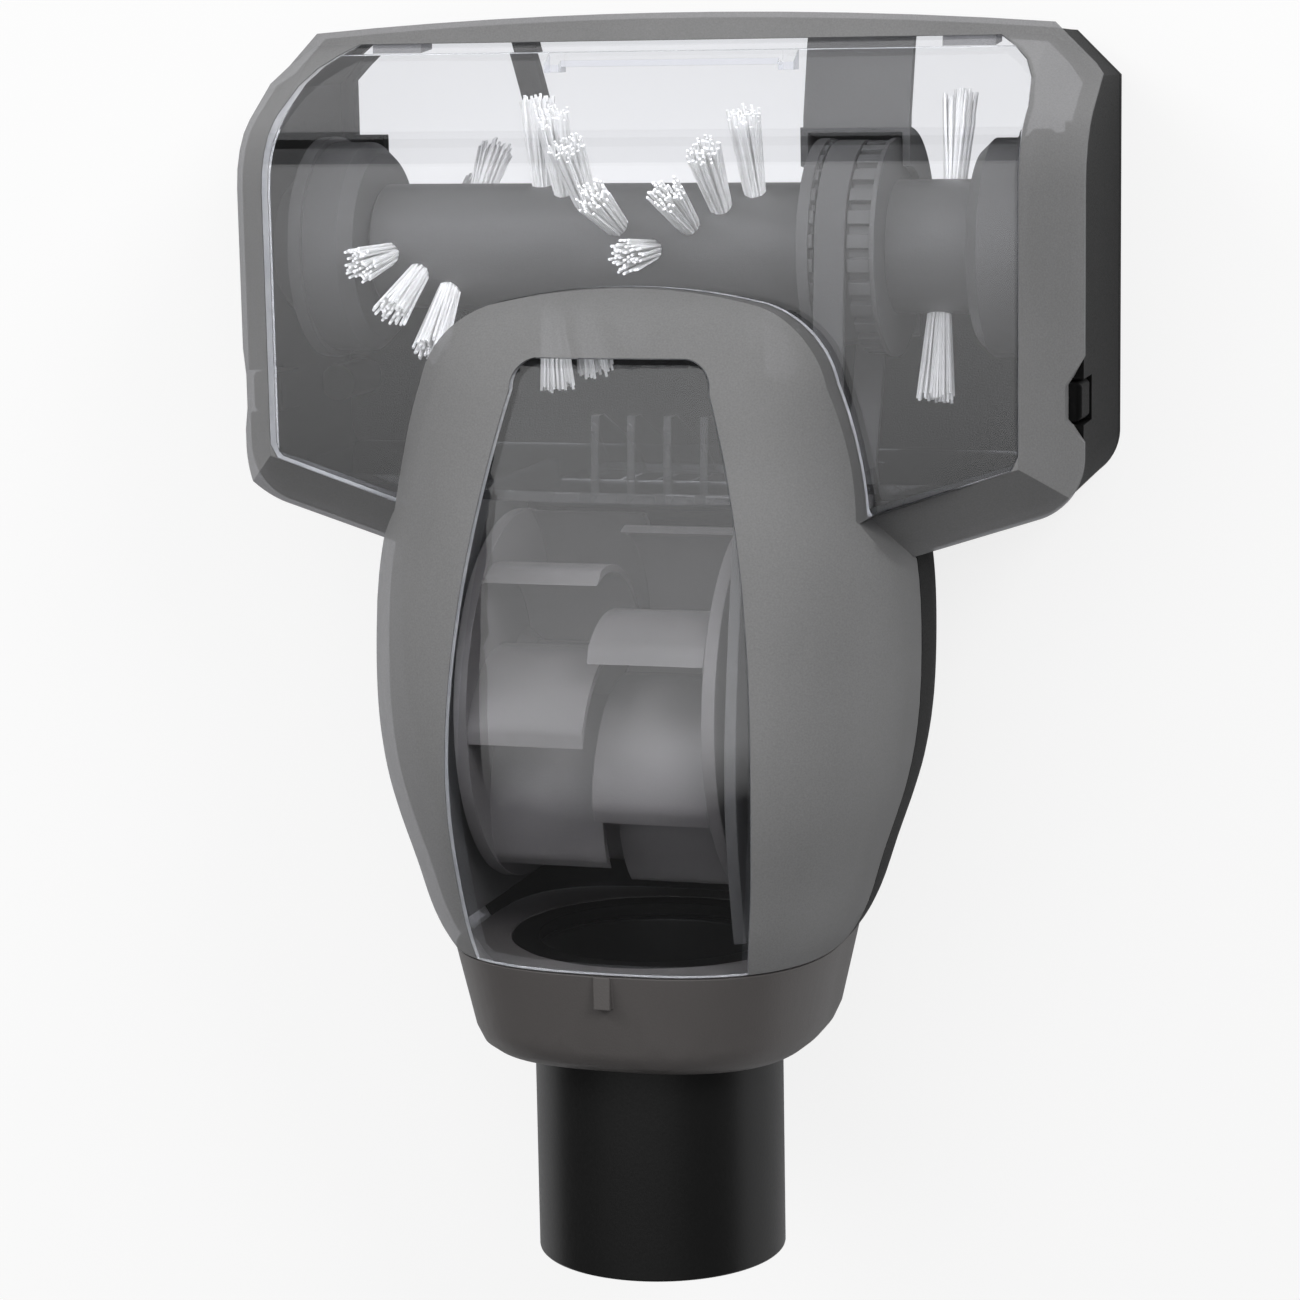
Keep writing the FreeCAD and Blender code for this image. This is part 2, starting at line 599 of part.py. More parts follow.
def top_frame(cover):
    """The smoked frame: rim of the head and shoulders of the dome."""
    gap = size("pane_gap")
    head_opening = window_prism(gap).cut(nose_prism(gap))
    shape = cover.cut(head_opening).cut(pane_prism(gap))
    shape = shape.cut(thumb_notch(size("notch_depth"))).cut(mirrored(thumb_notch(size("left_notch_depth"))))
    low = size("ledge_height") - 2 * size("ledge_fall")
    back = size("brow_foot") - 2.1
    thickness = size("tongue_thickness")
    for side in (-1, 1):
        left = side * inside_side("tongue_side") - size("tongue_width") / 2
        right = left + size("tongue_width")
        tongue = box_between((left, back, low - size("tongue_depth")), (right, back + thickness, low + 0.8))
        step = box_between((left, back, low), (right, back + 4, low + 0.8))
        root = box_between((left, size("brow_foot") + 0.2, low), (right, back + 4, low + 1.5))
        shape = shape.fuse(tongue).fuse(step).fuse(root)
    return solid_feature("top_frame", shape.removeSplitter())


def head_window(cover):
    """The clear pane over the roller, with its bar at the foot of the slope."""
    pane = cover.common(window_prism(0.0)).cut(nose_prism(0.0))
    half = size("snap_half_length")
    foot = size("brow_foot")
    depth = size("snap_depth")
    low = size("ledge_height") - 0.4
    bar = box_between((-half, foot - depth - 2.0, low), (half, foot - 2.0, low + depth))
    for side in (-1, 1):
        end = side * (half - 1.2)
        bar = bar.fuse(box_between((end - 1.2, foot - depth - 2.8, low - 0.2),
                                   (end + 1.2, foot - 1.6, low + depth + 1.0)))
    pane = pane.fuse(bar.common(head_form(0.0)))
    return solid_feature("head_window", pane.removeSplitter())


def turbine_window(cover):
    """The clear pane over the turbine."""
    return solid_feature("turbine_window", cover.common(pane_prism(0.0)).removeSplitter())


def base_block(inset):
    """The lower head: upright walls that lean in a little towards the foot."""
    low = size("sole_thickness") + size("seat_gap")
    high = size("head_top")
    wires = [plan_wire(inset + size("base_draft"), low), plan_wire(inset, high)]
    return Part.makeLoft(wires, True, True)


def carrier_face(side):
    """Distance of a turbine carrier from the middle, on the given side."""
    return size("turbine_half_width") - side * size("turbine_shift") + size("carrier_gap")


def scroll():
    """Curved air guide under the turbine."""
    centre = (-size("turbine_back"), size("turbine_height"))
    radius = size("turbine_radius") + size("scroll_gap")
    gap = size("seat_gap") * 2
    left, right = gap - carrier_face(-1), carrier_face(1) - gap
    outer = rod(radius + 2.2, left, right, *centre)
    lower = box_between((left, centre[0] - 28, 0), (right, centre[0] + 28, centre[1] - 12))
    return outer.cut(rod(radius, left, right, *centre)).common(lower)


def cheek(side):
    """Upright cheek with a half-round seat for a bearing holder."""
    low = size("sole_thickness") + size("seat_gap")
    inner = inside_side("holder_space") + size("run_gap")
    half = size("cheek_half_length")
    plate = box_between((inner, -half, low), (inner + size("cheek_thickness"), half, size("cheek_top")))
    outer = size("head_half_width") - size("wall")
    foot = box_between((inner, -half, low), (outer, half, low + 1.8))
    seat = rod(size("holder_stub_radius") + size("seat_gap"), inner - 1, inner + 10, 0, size("roller_height"))
    plate = plate.fuse(foot).cut(seat)
    return plate if side > 0 else mirrored(plate)


def screw_places():
    beside = (inside_side("screw_side"), -size("screw_side_back"))
    rear = (size("wing_half_width") + size("screw_rear_side"), size("screw_rear_inset") - size("wing_back"))
    return [(side * x, y) for x, y in (beside, rear) for side in (-1, 1)]


def screw_boss(x, y):
    low = size("sole_thickness") + size("seat_gap")
    height = size("screw_length") + 3
    boss = Part.makeCylinder(size("screw_boss_radius"), height, Vector(x, y, low))
    return boss


def screw_bore(x, y):
    low = size("sole_thickness") + size("seat_gap")
    radius = size("screw_radius") + size("tuft_play")
    return Part.makeCylinder(radius, size("screw_length") + 1, Vector(x, y, low - 1))


def latch_opening(side):
    """Opening in the side wall for a catch."""
    gap = size("run_gap")
    front = -size("latch_front") + gap
    back = -size("latch_front") - size("latch_length") - gap
    hole = box_between((size("head_half_width") - 6, back, size("latch_low") - gap), (80, front, 60))
    return hole if side > 0 else mirrored(hole)


def runner(side):
    """Skid under the belly that carries the rear of the head."""
    left = side * size("runner_half_gap") - size("runner_width") / 2
    front, back, nose = -size("runner_front"), -size("runner_back"), size("runner_nose")
    top = size("belly_bottom") + 3
    outline = [(left, front, top), (left, front - nose, 0), (left, back + nose, 0), (left, back, top)]
    return prism(polygon(outline), (size("runner_width"), 0, 0))


def lower_housing():
    """The black base: head walls, belly, cheeks, bosses and skids in one moulding."""
    wall = size("wall")
    far_side, far_back = size("head_half_width") + 20, -size("collar_end") - 12
    behind_head = box_between((-far_side, far_back, -30), (far_side, -size("wing_back") + 8, 120))
    outside = base_block(0.0).fuse(dome_form(0.0).common(behind_head))
    inside = prism(plan_wire(wall + size("base_draft") * 0.6, -10), (0, 0, 90))
    hollow = dome_form(wall, 5.0)
    behind_wall = -size("nozzle_plane") - size("nozzle_wall") * 2
    inside = inside.fuse(hollow.common(box_between((-far_side, far_back, 0), (far_side, behind_wall, 120))))
    room = outside.common(below_parting(size("seam")))
    shell = room.cut(inside)
    extras = scroll()
    for side in (-1, 1):
        extras = extras.fuse(cheek(side)).fuse(runner(side).cut(hollow))
    for x, y in screw_places():
        extras = extras.fuse(screw_boss(x, y).common(room))
    shell = shell.fuse(extras)
    for side in (-1, 1):
        shell = shell.cut(latch_opening(side))
    for x, y in screw_places():
        shell = shell.cut(screw_bore(x, y))
    return solid_feature("lower_housing", shell.removeSplitter())


def collar():
    """Round end of the neck, in which the tube turns."""
    start = -size("dome_end") - size("collar_gap")
    end = -size("collar_end")
    lip = end + size("collar_lip")
    last = dome_stations()[-1]
    floor = belly_floor(last[0])
    shapes = [(start, last[1] - 0.2, last[2] - 0.2, floor + 0.2), (lip, 26.6, 66.9, 15.6),
              (lip - 2.2, 25.6, 66.0, 16.5), (end, 24.0, 64.4, 18.0)]
    body = Part.makeLoft([dome_section(y, half, crest, low, 0.0) for y, half, crest, low in shapes],
                         True, True)
    axis = Vector(0, -1, 0)
    flange = size("tube_radius") + size("flange_rise")
    bore = Part.makeCylinder(size("tube_radius") + size("collar_bore_gap"), 40,
                             Vector(0, start + 1, size("tube_height")), axis)
    pocket = Part.makeCylinder(flange + size("run_gap") + 0.1, size("collar_pocket") + 1,
                               Vector(0, start + 1, size("tube_height")), axis)
    tab = box_between((-size("pointer_width") / 2, start - size("pointer_length"), 60),
                      (size("pointer_width") / 2, start, last[2] + size("pointer_rise") - 0.4))
    shape = body.fuse(tab).cut(bore).cut(pocket)
    return solid_feature("collar", shape.removeSplitter())


def neck_pieces():
    """The swivelling tube and the ring that keeps it in the collar."""
    front = "-Sizes.dome_end - Sizes.collar_gap - Sizes.ring_thickness - Sizes.run_gap - 0.1"
    bore = "Sizes.tube_radius - Sizes.tube_wall"
    tube = turned("neck_tube", [(bore, "-Sizes.tube_end"),
                                ("Sizes.tube_radius", "-Sizes.tube_end"),
                                ("Sizes.tube_radius", front + " - Sizes.tube_flange"),
                                (FLANGE_RADIUS, front + " - Sizes.tube_flange"),
                                (FLANGE_RADIUS, front),
                                (bore, front)], "V_Axis")
    start = "-Sizes.dome_end - Sizes.collar_gap - 0.1"
    outer = FLANGE_RADIUS + " + Sizes.run_gap"
    inner = bore + " + Sizes.ring_relief"
    keeper = turned("neck_ring", [(inner, start + " - Sizes.ring_thickness"),
                                  (outer, start + " - Sizes.ring_thickness"),
                                  (outer, start), (inner, start)], "V_Axis")
    return [on_tube_axis(tube), on_tube_axis(keeper)]


def nozzle_wall():
    """Clear wall between roller and turbine, with the inlet and its guide vanes."""
    back = -size("nozzle_plane") - size("nozzle_wall")
    front = -size("nozzle_plane")
    low = size("sole_thickness") + size("seat_gap")
    clearance = size("cover_wall") + size("seam") + size("base_draft")
    room = head_form(clearance + size("wall") - size("cover_wall")).fuse(dome_form(clearance))
    room = room.common(box_between((-90, back, low), (90, front, 90)))
    belt_left = size("belt_start") - 1.0
    belt_right = size("belt_start") + size("belt_width") + 1.0
    slot = box_between((belt_left, back - 1, 17), (belt_right, front + 1, 45.5))
    nozzle_low, nozzle_high = size("nozzle_low"), size("nozzle_high")
    left = size("nozzle_shift") - size("nozzle_half_width")
    right = size("nozzle_shift") + size("nozzle_half_width")
    inlet = box_between((left, back - 1, nozzle_low), (right, front + 1, nozzle_high))
    shape = room.cut(slot).cut(inlet)
    vanes = int(size("vane_count"))
    step = (right - left) / (vanes + 1)
    thickness = size("vane_thickness")
    for k in range(1, vanes + 1):
        x = left + k * step
        vane = prism(polygon([(x - thickness / 2, back, nozzle_low - 1),
                              (x - thickness / 2, front + size("vane_length") * 0.55, nozzle_low + 6),
                              (x - thickness / 2, front + size("vane_length"), nozzle_high - 3),
                              (x - thickness / 2, front + size("vane_length"), nozzle_high),
                              (x - thickness / 2, back, nozzle_high + 1)]), (thickness, 0, 0))
        shape = shape.fuse(vane)
    return solid_feature("nozzle_wall", shape.removeSplitter())


def sole_plate():
    """The flat sole with the suction mouth and its bars."""
    thickness = size("sole_thickness")
    plate = prism(plan_wire(size("base_draft"), 0), (0, 0, thickness))
    half, front, back = inside_side("mouth_side"), size("mouth_front"), -size("mouth_back")
    wide, cheek, cut = inside_side("mouth_front_side"), size("mouth_cheek"), size("mouth_corner")
    right = [(half, back), (half, cheek), (wide, cheek), (wide, front - cut), (wide - cut, front)]
    left = [(-x, y) for x, y in reversed(right)]
    mouth = prism(polygon([(x, y, -1) for x, y in right + left]), (0, 0, thickness + 2))
    bar, bend = size("bar_width") / 2, size("bar_bend")
    place = size("bar_place")
    line = [(place - size("bar_skew"), front), (place, bend), (place, back)]
    outline = [(x - bar, y, -1) for x, y in line] + [(x + bar, y, -1) for x, y in reversed(line)]
    crossbar = prism(polygon(outline), (0, 0, thickness + 2))
    mouth = mouth.cut(crossbar)
    corner = [edge for edge in plate.Edges if edge.BoundBox.ZMax < 0.01]
    plate = plate.makeChamfer(size("sole_chamfer"), corner).cut(mouth)
    for x, y in screw_places():
        hole = Part.makeCylinder(size("screw_radius") + 0.2, 9, Vector(x, y, -1))
        sink = Part.makeCylinder(size("screw_head_radius") + 0.2, size("screw_head") + 0.2, Vector(x, y, 0))
        plate = plate.cut(hole).cut(sink)
    return solid_feature("sole_plate", plate.removeSplitter())


def belt_guard():
    """Trough round the roller pulley, with a plate towards the front wall and a foot on the sole."""
    left, right = size("guard_start"), size("guard_start") + size("guard_width")
    wall, top, axis = size("guard_wall"), size("guard_top"), size("roller_height")
    low = size("sole_thickness") + size("seat_gap")
    inner = size("pulley_flange_radius") + size("guard_gap")
    outer = inner + size("guard_shell")
    back, front = -size("guard_back"), size("front_reach")
    trough = rod(outer, left, right, 0, axis).common(box_between((left, back, low), (right, front, top)))
    trough = trough.cut(rod(inner, left + wall, right - wall, 0, axis))
    trough = trough.cut(rod(size("end_radius") + size("guard_bore_gap"), left - 1, right + 1, 0, axis))
    skew, thickness = size("guard_skew"), size("guard_plate")
    start, under = outer - size("guard_overlap"), top - thickness
    plate_left, plate_right = left + size("guard_inset"), right - size("guard_inset") / 2
    plate = prism(polygon([(plate_left, start, under), (plate_right, start, under),
                           (plate_right + skew, front, under), (plate_left + skew, front, under)]),
                  (0, 0, thickness))
    flange = box_between((left + 2, size("mouth_front") - 0.4, low), (right - 3, front, top))
    room = prism(plan_wire(size("wall") + size("base_draft") + size("seat_gap"), 0), (0, 0, 40))
    rail = plate.fuse(flange).common(room)
    foot = box_between((left + 2, -size("guard_foot"), low), (right - 2, back + 2, low + 5))
    foot = foot.cut(rod(inner + 0.2, left, right, 0, axis))
    return solid_feature("belt_guard", trough.fuse(rail).fuse(foot).removeSplitter())


def bearing_holder(name, side):
    """Cup round each roller end, with a rim and a stub that seats in the cheek."""
    sign = "" if side > 0 else "-"
    inner = sign + HOLDER_FACE
    outer = sign + HOLDER_END
    rim = "%s(%s - Sizes.holder_rim)" % (sign, HOLDER_END)
    chamfer = "%s(%s + Sizes.holder_chamfer)" % (sign, HOLDER_FACE)
    stub = "%s(%s + Sizes.holder_stub)" % (sign, HOLDER_END)
    bush = "%s(%s + Sizes.bush_inset - Sizes.seat_gap)" % (sign, HOLDER_FACE)
    bush_end = "%s(%s + Sizes.bush_inset + Sizes.bush_width + Sizes.seat_gap)" % (sign, HOLDER_FACE)
    shaft_end = "%s(%s + 2)" % (sign, SHAFT_END)
    pocket = "Sizes.bush_radius + Sizes.shaft_fit"
    hole = "Sizes.roller_shaft_radius + Sizes.run_gap"
    corners = [(inner, hole), (bush, hole), (bush, pocket), (bush_end, pocket), (bush_end, hole),
               (shaft_end, hole), (shaft_end, "Sizes.roller_shaft_radius + 0.2"),
               (stub, "Sizes.roller_shaft_radius + 0.2"), (stub, "Sizes.holder_stub_radius"),
               (outer, "Sizes.holder_stub_radius"), (outer, "Sizes.holder_flange_radius"),
               (rim, "Sizes.holder_flange_radius"), (rim, "Sizes.holder_radius"),
               (chamfer, "Sizes.holder_radius"), (inner, "Sizes.holder_radius - Sizes.holder_chamfer")]
    return on_roller_axis(turned(name, corners))


def bearing_bush(name, side):
    sign = "" if side > 0 else "-"
    start = "%s(%s + Sizes.bush_inset)" % (sign, HOLDER_FACE)
    end = "%s(%s + Sizes.bush_inset + Sizes.bush_width)" % (sign, HOLDER_FACE)
    return on_roller_axis(ring(name, "Sizes.roller_shaft_radius + Sizes.shaft_fit", "Sizes.bush_radius",
                               start, end))


def tuft_direction(angle):
    """Unit vector of a tuft: 0 degrees points up, 90 degrees points to the front."""
    turn = math.radians(angle)
    return Vector(0, math.sin(turn), math.cos(turn))


def helix_angle(x):
    return size("tuft_twist") * abs(x - size("tuft_centre"))


def tuft_list():
    """Names, places and angles of all tufts, in three groups."""
    core_end = inside_side("holder_space") - size("holder_length") - size("core_play")
    places = [share * (core_end + size("pulley_start")) - core_end for share in TUFT_PLACES]
    end_reach = core_end - size("pulley_end")
    return {"front_tufts": [(x, helix_angle(x)) for x in places],
            "back_tufts": [(x, helix_angle(x) + 180) for x in places],
            "end_tufts": [(size("pulley_end") + share * end_reach, angle) for share, angle in END_TUFTS]}


def tuft(x, angle, root_radius):
    """One bundle of bristles: a straight root and a flaring cone."""
    centre = Vector(x, 0, size("roller_height"))
    direction = tuft_direction(angle)
    surface = size("end_radius") if x > size("pulley_end") else size("core_radius")
    root = surface - size("tuft_root_depth") + size("tuft_play")
    bundle = Part.makeCylinder(root_radius, surface - root + 0.6, centre + direction * root, direction)
    start = surface + 0.5
    cone = Part.makeCone(root_radius, size("tuft_flare_radius"), size("tuft_tip_radius") - start,
                         centre + direction * start, direction)
    return bundle.fuse(cone).removeSplitter()


def tuft_groups():
    radius = size("tuft_root_radius") - size("tuft_play")
    groups = []
    for name, places in tuft_list().items():
        tufts = [tuft(x, angle, radius) for x, angle in places]
        groups.append(solid_feature(name, Part.makeCompound(tufts)))
    return groups


def tuft_holes(name, places, surface):
    """A compound of drill cylinders for one piece of the roller."""
    cutters = []
    depth = size("tuft_root_depth")
    for x, angle in places:
        direction = tuft_direction(angle)
        start = direction * (surface - depth) + Vector(x, 0, 0)
        cutters.append(Part.makeCylinder(size("tuft_root_radius"), depth + 5, start, direction))
    drill = solid_feature(name, Part.makeCompound(cutters))
    drill.Placement = Placement(Vector(0, 0, size("roller_height")), Rotation())
    return drill


def drilled(name, body, drill):
    cut = document.addObject("Part::Cut", name)
    cut.Base = body
    cut.Tool = drill
    return cut


def roller_core():
    left, right = "-" + CORE_END, "Sizes.pulley_start - Sizes.seat_gap"
    spigot_end = "Sizes.pulley_end + (%s - Sizes.pulley_end) / 3" % CORE_END
    bore = "Sizes.roller_shaft_radius + Sizes.seat_gap"
    edge = "Sizes.core_radius - 0.6"
    blank = turned("core_blank", [(left, bore), (spigot_end, bore), (spigot_end, "Sizes.spigot_radius"),
                                  (right, "Sizes.spigot_radius"), (right, "Sizes.core_radius"),
                                  (left + " + 0.6", "Sizes.core_radius"), (left, edge)])
    places = tuft_list()["front_tufts"] + tuft_list()["back_tufts"]
    drill = tuft_holes("core_holes", places, size("core_radius"))
    return drilled("roller_core", on_roller_axis(blank), drill)


def roller_end():
    left, right = "Sizes.pulley_end + Sizes.seat_gap", CORE_END
    socket = "Sizes.spigot_radius + Sizes.seat_gap"
    bore = "Sizes.roller_shaft_radius + Sizes.seat_gap"
    depth = "Sizes.pulley_end + (%s - Sizes.pulley_end) / 3 + Sizes.seat_gap" % CORE_END
    blank = turned("end_blank", [(left, socket), (depth, socket), (depth, bore), (right, bore),
                                 (right, "Sizes.end_radius"), (left, "Sizes.end_radius")])
    drill = tuft_holes("end_holes", tuft_list()["end_tufts"], size("end_radius"))
    return drilled("roller_end", on_roller_axis(blank), drill)


def toothed(name, corners, teeth, tip, depth, span):
    """A turned wheel with straight teeth cut along X over the given span."""
    body = turned(name, corners)
    sketch = body.newObject("Sketcher::SketchObject", name + "_gap")
    sketch.AttachmentSupport = [(origin_plane(body, "YZ_Plane"), "")]
    sketch.MapMode = "FlatFace"
    width = math.pi * size(tip) / size(teeth)
    low, high = size(tip) - size(depth), size(tip) + 3
    points = [(-width * 0.36, low), (width * 0.36, low), (width * 0.62, high), (-width * 0.62, high)]
    for k in range(4):
        start, end = points[k], points[(k + 1) % 4]
        sketch.addGeometry(Part.LineSegment(Vector(*start, 0), Vector(*end, 0)), False)
    sketch.setExpression("AttachmentOffset.Base.z", span[0])
    pocket = body.newObject("PartDesign::Pocket", name + "_gap_cut")
    pocket.Profile = sketch
    pocket.Reversed = True
    pocket.setExpression("Length", span[1])
    document.recompute()
    pattern = body.newObject("PartDesign::PolarPattern", name + "_teeth")
    pattern.Originals = [pocket]
    pattern.Axis = (origin_plane(body, "X_Axis"), [""])
    pattern.Angle = 360
    pattern.setExpression("Occurrences", "Sizes." + teeth)
    body.Tip = pattern
    return body


def roller_pulley():
    """Toothed drum with the belt running in a smooth track between its teeth."""
    bore = "Sizes.spigot_radius + Sizes.seat_gap"
    left, right = "Sizes.pulley_start", "Sizes.pulley_end"
    flange_end = left + " + Sizes.pulley_flange"
    rim_start = right + " - Sizes.pulley_rim"
    track_start = "Sizes.belt_start - Sizes.run_gap"
    track_end = "Sizes.belt_start + Sizes.belt_width + Sizes.run_gap"
    rim, tip, track = "Sizes.pulley_flange_radius", "Sizes.pulley_radius", "Sizes.belt_track"
    corners = [(left, bore), (right, bore), (right, rim), (rim_start, rim), (rim_start, tip),
               (track_end, tip), (track_end, track), (track_start, track), (track_start, tip),
               (flange_end, tip), (flange_end, rim), (left, rim)]
    span = (flange_end, "Sizes.pulley_end - Sizes.pulley_rim - Sizes.pulley_start - Sizes.pulley_flange")
    return on_roller_axis(toothed("roller_pulley", corners, "pulley_teeth", "pulley_radius",
                                  "tooth_depth", span))


def turbine_pinion():
    bore = "Sizes.turbine_shaft_radius + Sizes.shaft_fit"
    left, right = PINION_START, "Sizes.pinion_end"
    rim_start = right + " - Sizes.pinion_rim"
    track_end = "Sizes.belt_start + Sizes.belt_width + Sizes.run_gap"
    rim, tip, track = "Sizes.pinion_rim_radius", "Sizes.pinion_radius", "Sizes.pinion_track"
    corners = [(left, bore), (right, bore), (right, rim), (rim_start, rim), (rim_start, tip),
               (track_end, tip), (track_end, track), (left, track)]
    span = (track_end, "Sizes.pinion_end - Sizes.pinion_rim - Sizes.belt_start - Sizes.belt_width"
            " - Sizes.run_gap")
    return on_turbine_axis(toothed("turbine_pinion", corners, "pinion_teeth", "pinion_radius",
                                   "tooth_depth", span))


def belt_loop(large, small, start, width):
    """Outline of a loop round both wheels, pushed along X."""
    y0, z0 = 0.0, size("roller_height")
    y1, z1 = -size("turbine_back"), size("turbine_height")
    span = math.hypot(y1 - y0, z1 - z0)
    line = math.atan2(z1 - z0, y1 - y0)
    lean = math.acos((large - small) / span)

    def on(cy, cz, radius, angle):
        return Vector(start, cy + radius * math.cos(angle), cz + radius * math.sin(angle))

    a, b = line + lean, line - lean
    edges = [Part.LineSegment(on(y0, z0, large, a), on(y1, z1, small, a)).toShape(),
             Part.Arc(on(y1, z1, small, a), on(y1, z1, small, line), on(y1, z1, small, b)).toShape(),
             Part.LineSegment(on(y1, z1, small, b), on(y0, z0, large, b)).toShape(),
             Part.Arc(on(y0, z0, large, b), on(y0, z0, large, line + math.pi),
                      on(y0, z0, large, a)).toShape()]
    return prism(Part.Wire(edges), (width, 0, 0))


def drive_belt():
    gap, thickness = size("run_gap"), size("belt_thickness")
    large, small = size("belt_track") + gap, size("pinion_track") + gap
    start, width = size("belt_start"), size("belt_width")
    outer = belt_loop(large + thickness, small + thickness, start, width)
    return solid_feature("drive_belt", outer.cut(belt_loop(large, small, start, width)))


def scoop_arc(radius, root, tip):
    """Root, middle and tip of one side of a blade, an arc between the hub and the rim of the turbine."""
    centre = Vector(-size("scoop_back"), size("scoop_height"), 0)
    away = centre.Length
    lean = math.atan2(centre.y, centre.x)

    def meet(rim):
        share = (away ** 2 + rim ** 2 - radius ** 2) / (2 * away * rim)
        angle = lean - math.acos(share)
        return Vector(rim * math.cos(angle), rim * math.sin(angle), 0)

    start, end = meet(root), meet(tip)
    outward = ((start + end) * 0.5 - centre).normalize()
    return start, centre + outward * radius, end


def turbine_wheel(name, side):
    """Half of the turbine: an outer disc, a hub and a row of scooped blades."""
    body = document.addObject("PartDesign::Body", name)
    bore = "Sizes.turbine_shaft_radius + Sizes.shaft_fit"
    sign = "" if side > 0 else "-"
    outer = "%sSizes.turbine_half_width" % sign
    inner = "%s(Sizes.turbine_half_width - Sizes.disc_thickness)" % sign
    middle = "%sSizes.seat_gap" % sign
    sketch = outline_sketch(body, name + "_profile",
                            [(middle, bore), (outer, bore), (outer, "Sizes.turbine_radius"),
                             (inner, "Sizes.turbine_radius"), (inner, "Sizes.hub_radius + 2"),
                             (inner + ("-" if side > 0 else "+") + " 2", "Sizes.hub_radius"),
                             (middle, "Sizes.hub_radius")])
    turn = body.newObject("PartDesign::Revolution", name + "_disc")
    turn.Profile = sketch
    turn.ReferenceAxis = (sketch, ["H_Axis"])
    turn.Angle = 360
    blade = body.newObject("Sketcher::SketchObject", name + "_blade_outline")
    blade.AttachmentSupport = [(origin_plane(body, "YZ_Plane"), "")]
    blade.MapMode = "FlatFace"
    tip, root, half = size("turbine_radius") - 0.3, size("hub_radius") - 0.8, size("blade_thickness") / 2
    front = scoop_arc(size("scoop_radius") + half, root, tip)
    back = scoop_arc(size("scoop_radius") - half, root, tip)
    middle = (front[2] + back[2]).normalize() * tip
    blade.addGeometry(Part.Arc(*front), False)
    blade.addGeometry(Part.Arc(front[2], middle, back[2]), False)
    blade.addGeometry(Part.Arc(*back), False)
    blade.addGeometry(Part.LineSegment(back[0], front[0]), False)
    pad = body.newObject("PartDesign::Pad", name + "_blade")
    pad.Profile = blade
    pad.Reversed = side < 0
    pad.setExpression("Length", "Sizes.turbine_half_width - Sizes.disc_thickness / 2 - Sizes.seat_gap")
    blade.setExpression("AttachmentOffset.Base.z", sign + "Sizes.seat_gap")
    document.recompute()
    pattern = body.newObject("PartDesign::PolarPattern", name + "_blades")
    pattern.Originals = [pad]
    pattern.Axis = (origin_plane(body, "X_Axis"), [""])
    pattern.Angle = 360
    pattern.setExpression("Occurrences", "Sizes.blade_count")
    body.Tip = pattern
    step = 0.0 if side < 0 else 180.0 / size("blade_count")
    body.Placement = Placement(Vector(0, 0, 0), Rotation(Vector(1, 0, 0), size("blade_turn") - step))
    place(body, x="-Sizes.turbine_shift")
    return on_turbine_axis(body)


def turbine_shaft():
    radius = "Sizes.turbine_shaft_radius"
    left = "-(%s + Sizes.carrier_thickness + Sizes.shaft_overhang)" % LEFT_CARRIER
    right = "Sizes.pinion_end + Sizes.shaft_tip"
    return on_turbine_axis(turned("turbine_shaft", [(left, "0"), (right, "0"), (right, radius + " - 0.3"),
                                                    (right + " - 0.3", radius), (left + " + 0.3", radius),
                                                    (left, radius + " - 0.3")]))


def roller_shaft():
    radius, end = "Sizes.roller_shaft_radius", SHAFT_END
    return on_roller_axis(turned("roller_shaft", [("-" + end, "0"), (end, "0"), (end, radius + " - 0.3"),
                                                  (end + " - 0.3", radius), ("-" + end + " + 0.3", radius),
                                                  ("-" + end, radius + " - 0.3")]))


def turbine_carrier(name, side):
    """Plate beside the turbine with a boss that holds the shaft bush."""
    centre = (-size("turbine_back"), size("turbine_height"))
    face, thickness = carrier_face(side), size("carrier_thickness")
    room = dome_form(size("wall") + size("seam"))
    room = room.common(box_between((face, centre[0] - 31, 5), (face + thickness, centre[0] + 31, 90)))
    boss = rod(size("carrier_boss_radius"), face - size("carrier_boss_rise"), face + thickness, *centre)
    seat = rod(size("bush_radius") + size("shaft_fit"), 10, 60, *centre)
    plate = room.fuse(boss).cut(seat)
    return solid_feature(name, plate if side > 0 else mirrored(plate))


def turbine_bush(name, side):
    sign, face = ("", RIGHT_CARRIER) if side > 0 else ("-", LEFT_CARRIER)
    start = "%s(%s - Sizes.carrier_boss_rise)" % (sign, face)
    end = "%s(%s + Sizes.carrier_thickness)" % (sign, face)
    return on_turbine_axis(ring(name, "Sizes.turbine_shaft_radius + Sizes.shaft_fit", "Sizes.bush_radius",
                                start, end))


def side_latch(name, side):
    """Spring catch in the side wall, pressed inward to free the cover."""
    outer = size("head_half_width") - size("latch_recess")
    front = -size("latch_front")
    block = box_between((outer - size("latch_depth"), front - size("latch_length"), size("latch_low")),
                        (outer, front, size("latch_high")))
    edges = [edge for edge in block.Edges if edge.BoundBox.XMin > outer - 0.1]
    block = block.makeChamfer(0.7, edges)
    return solid_feature(name, block if side > 0 else mirrored(block))


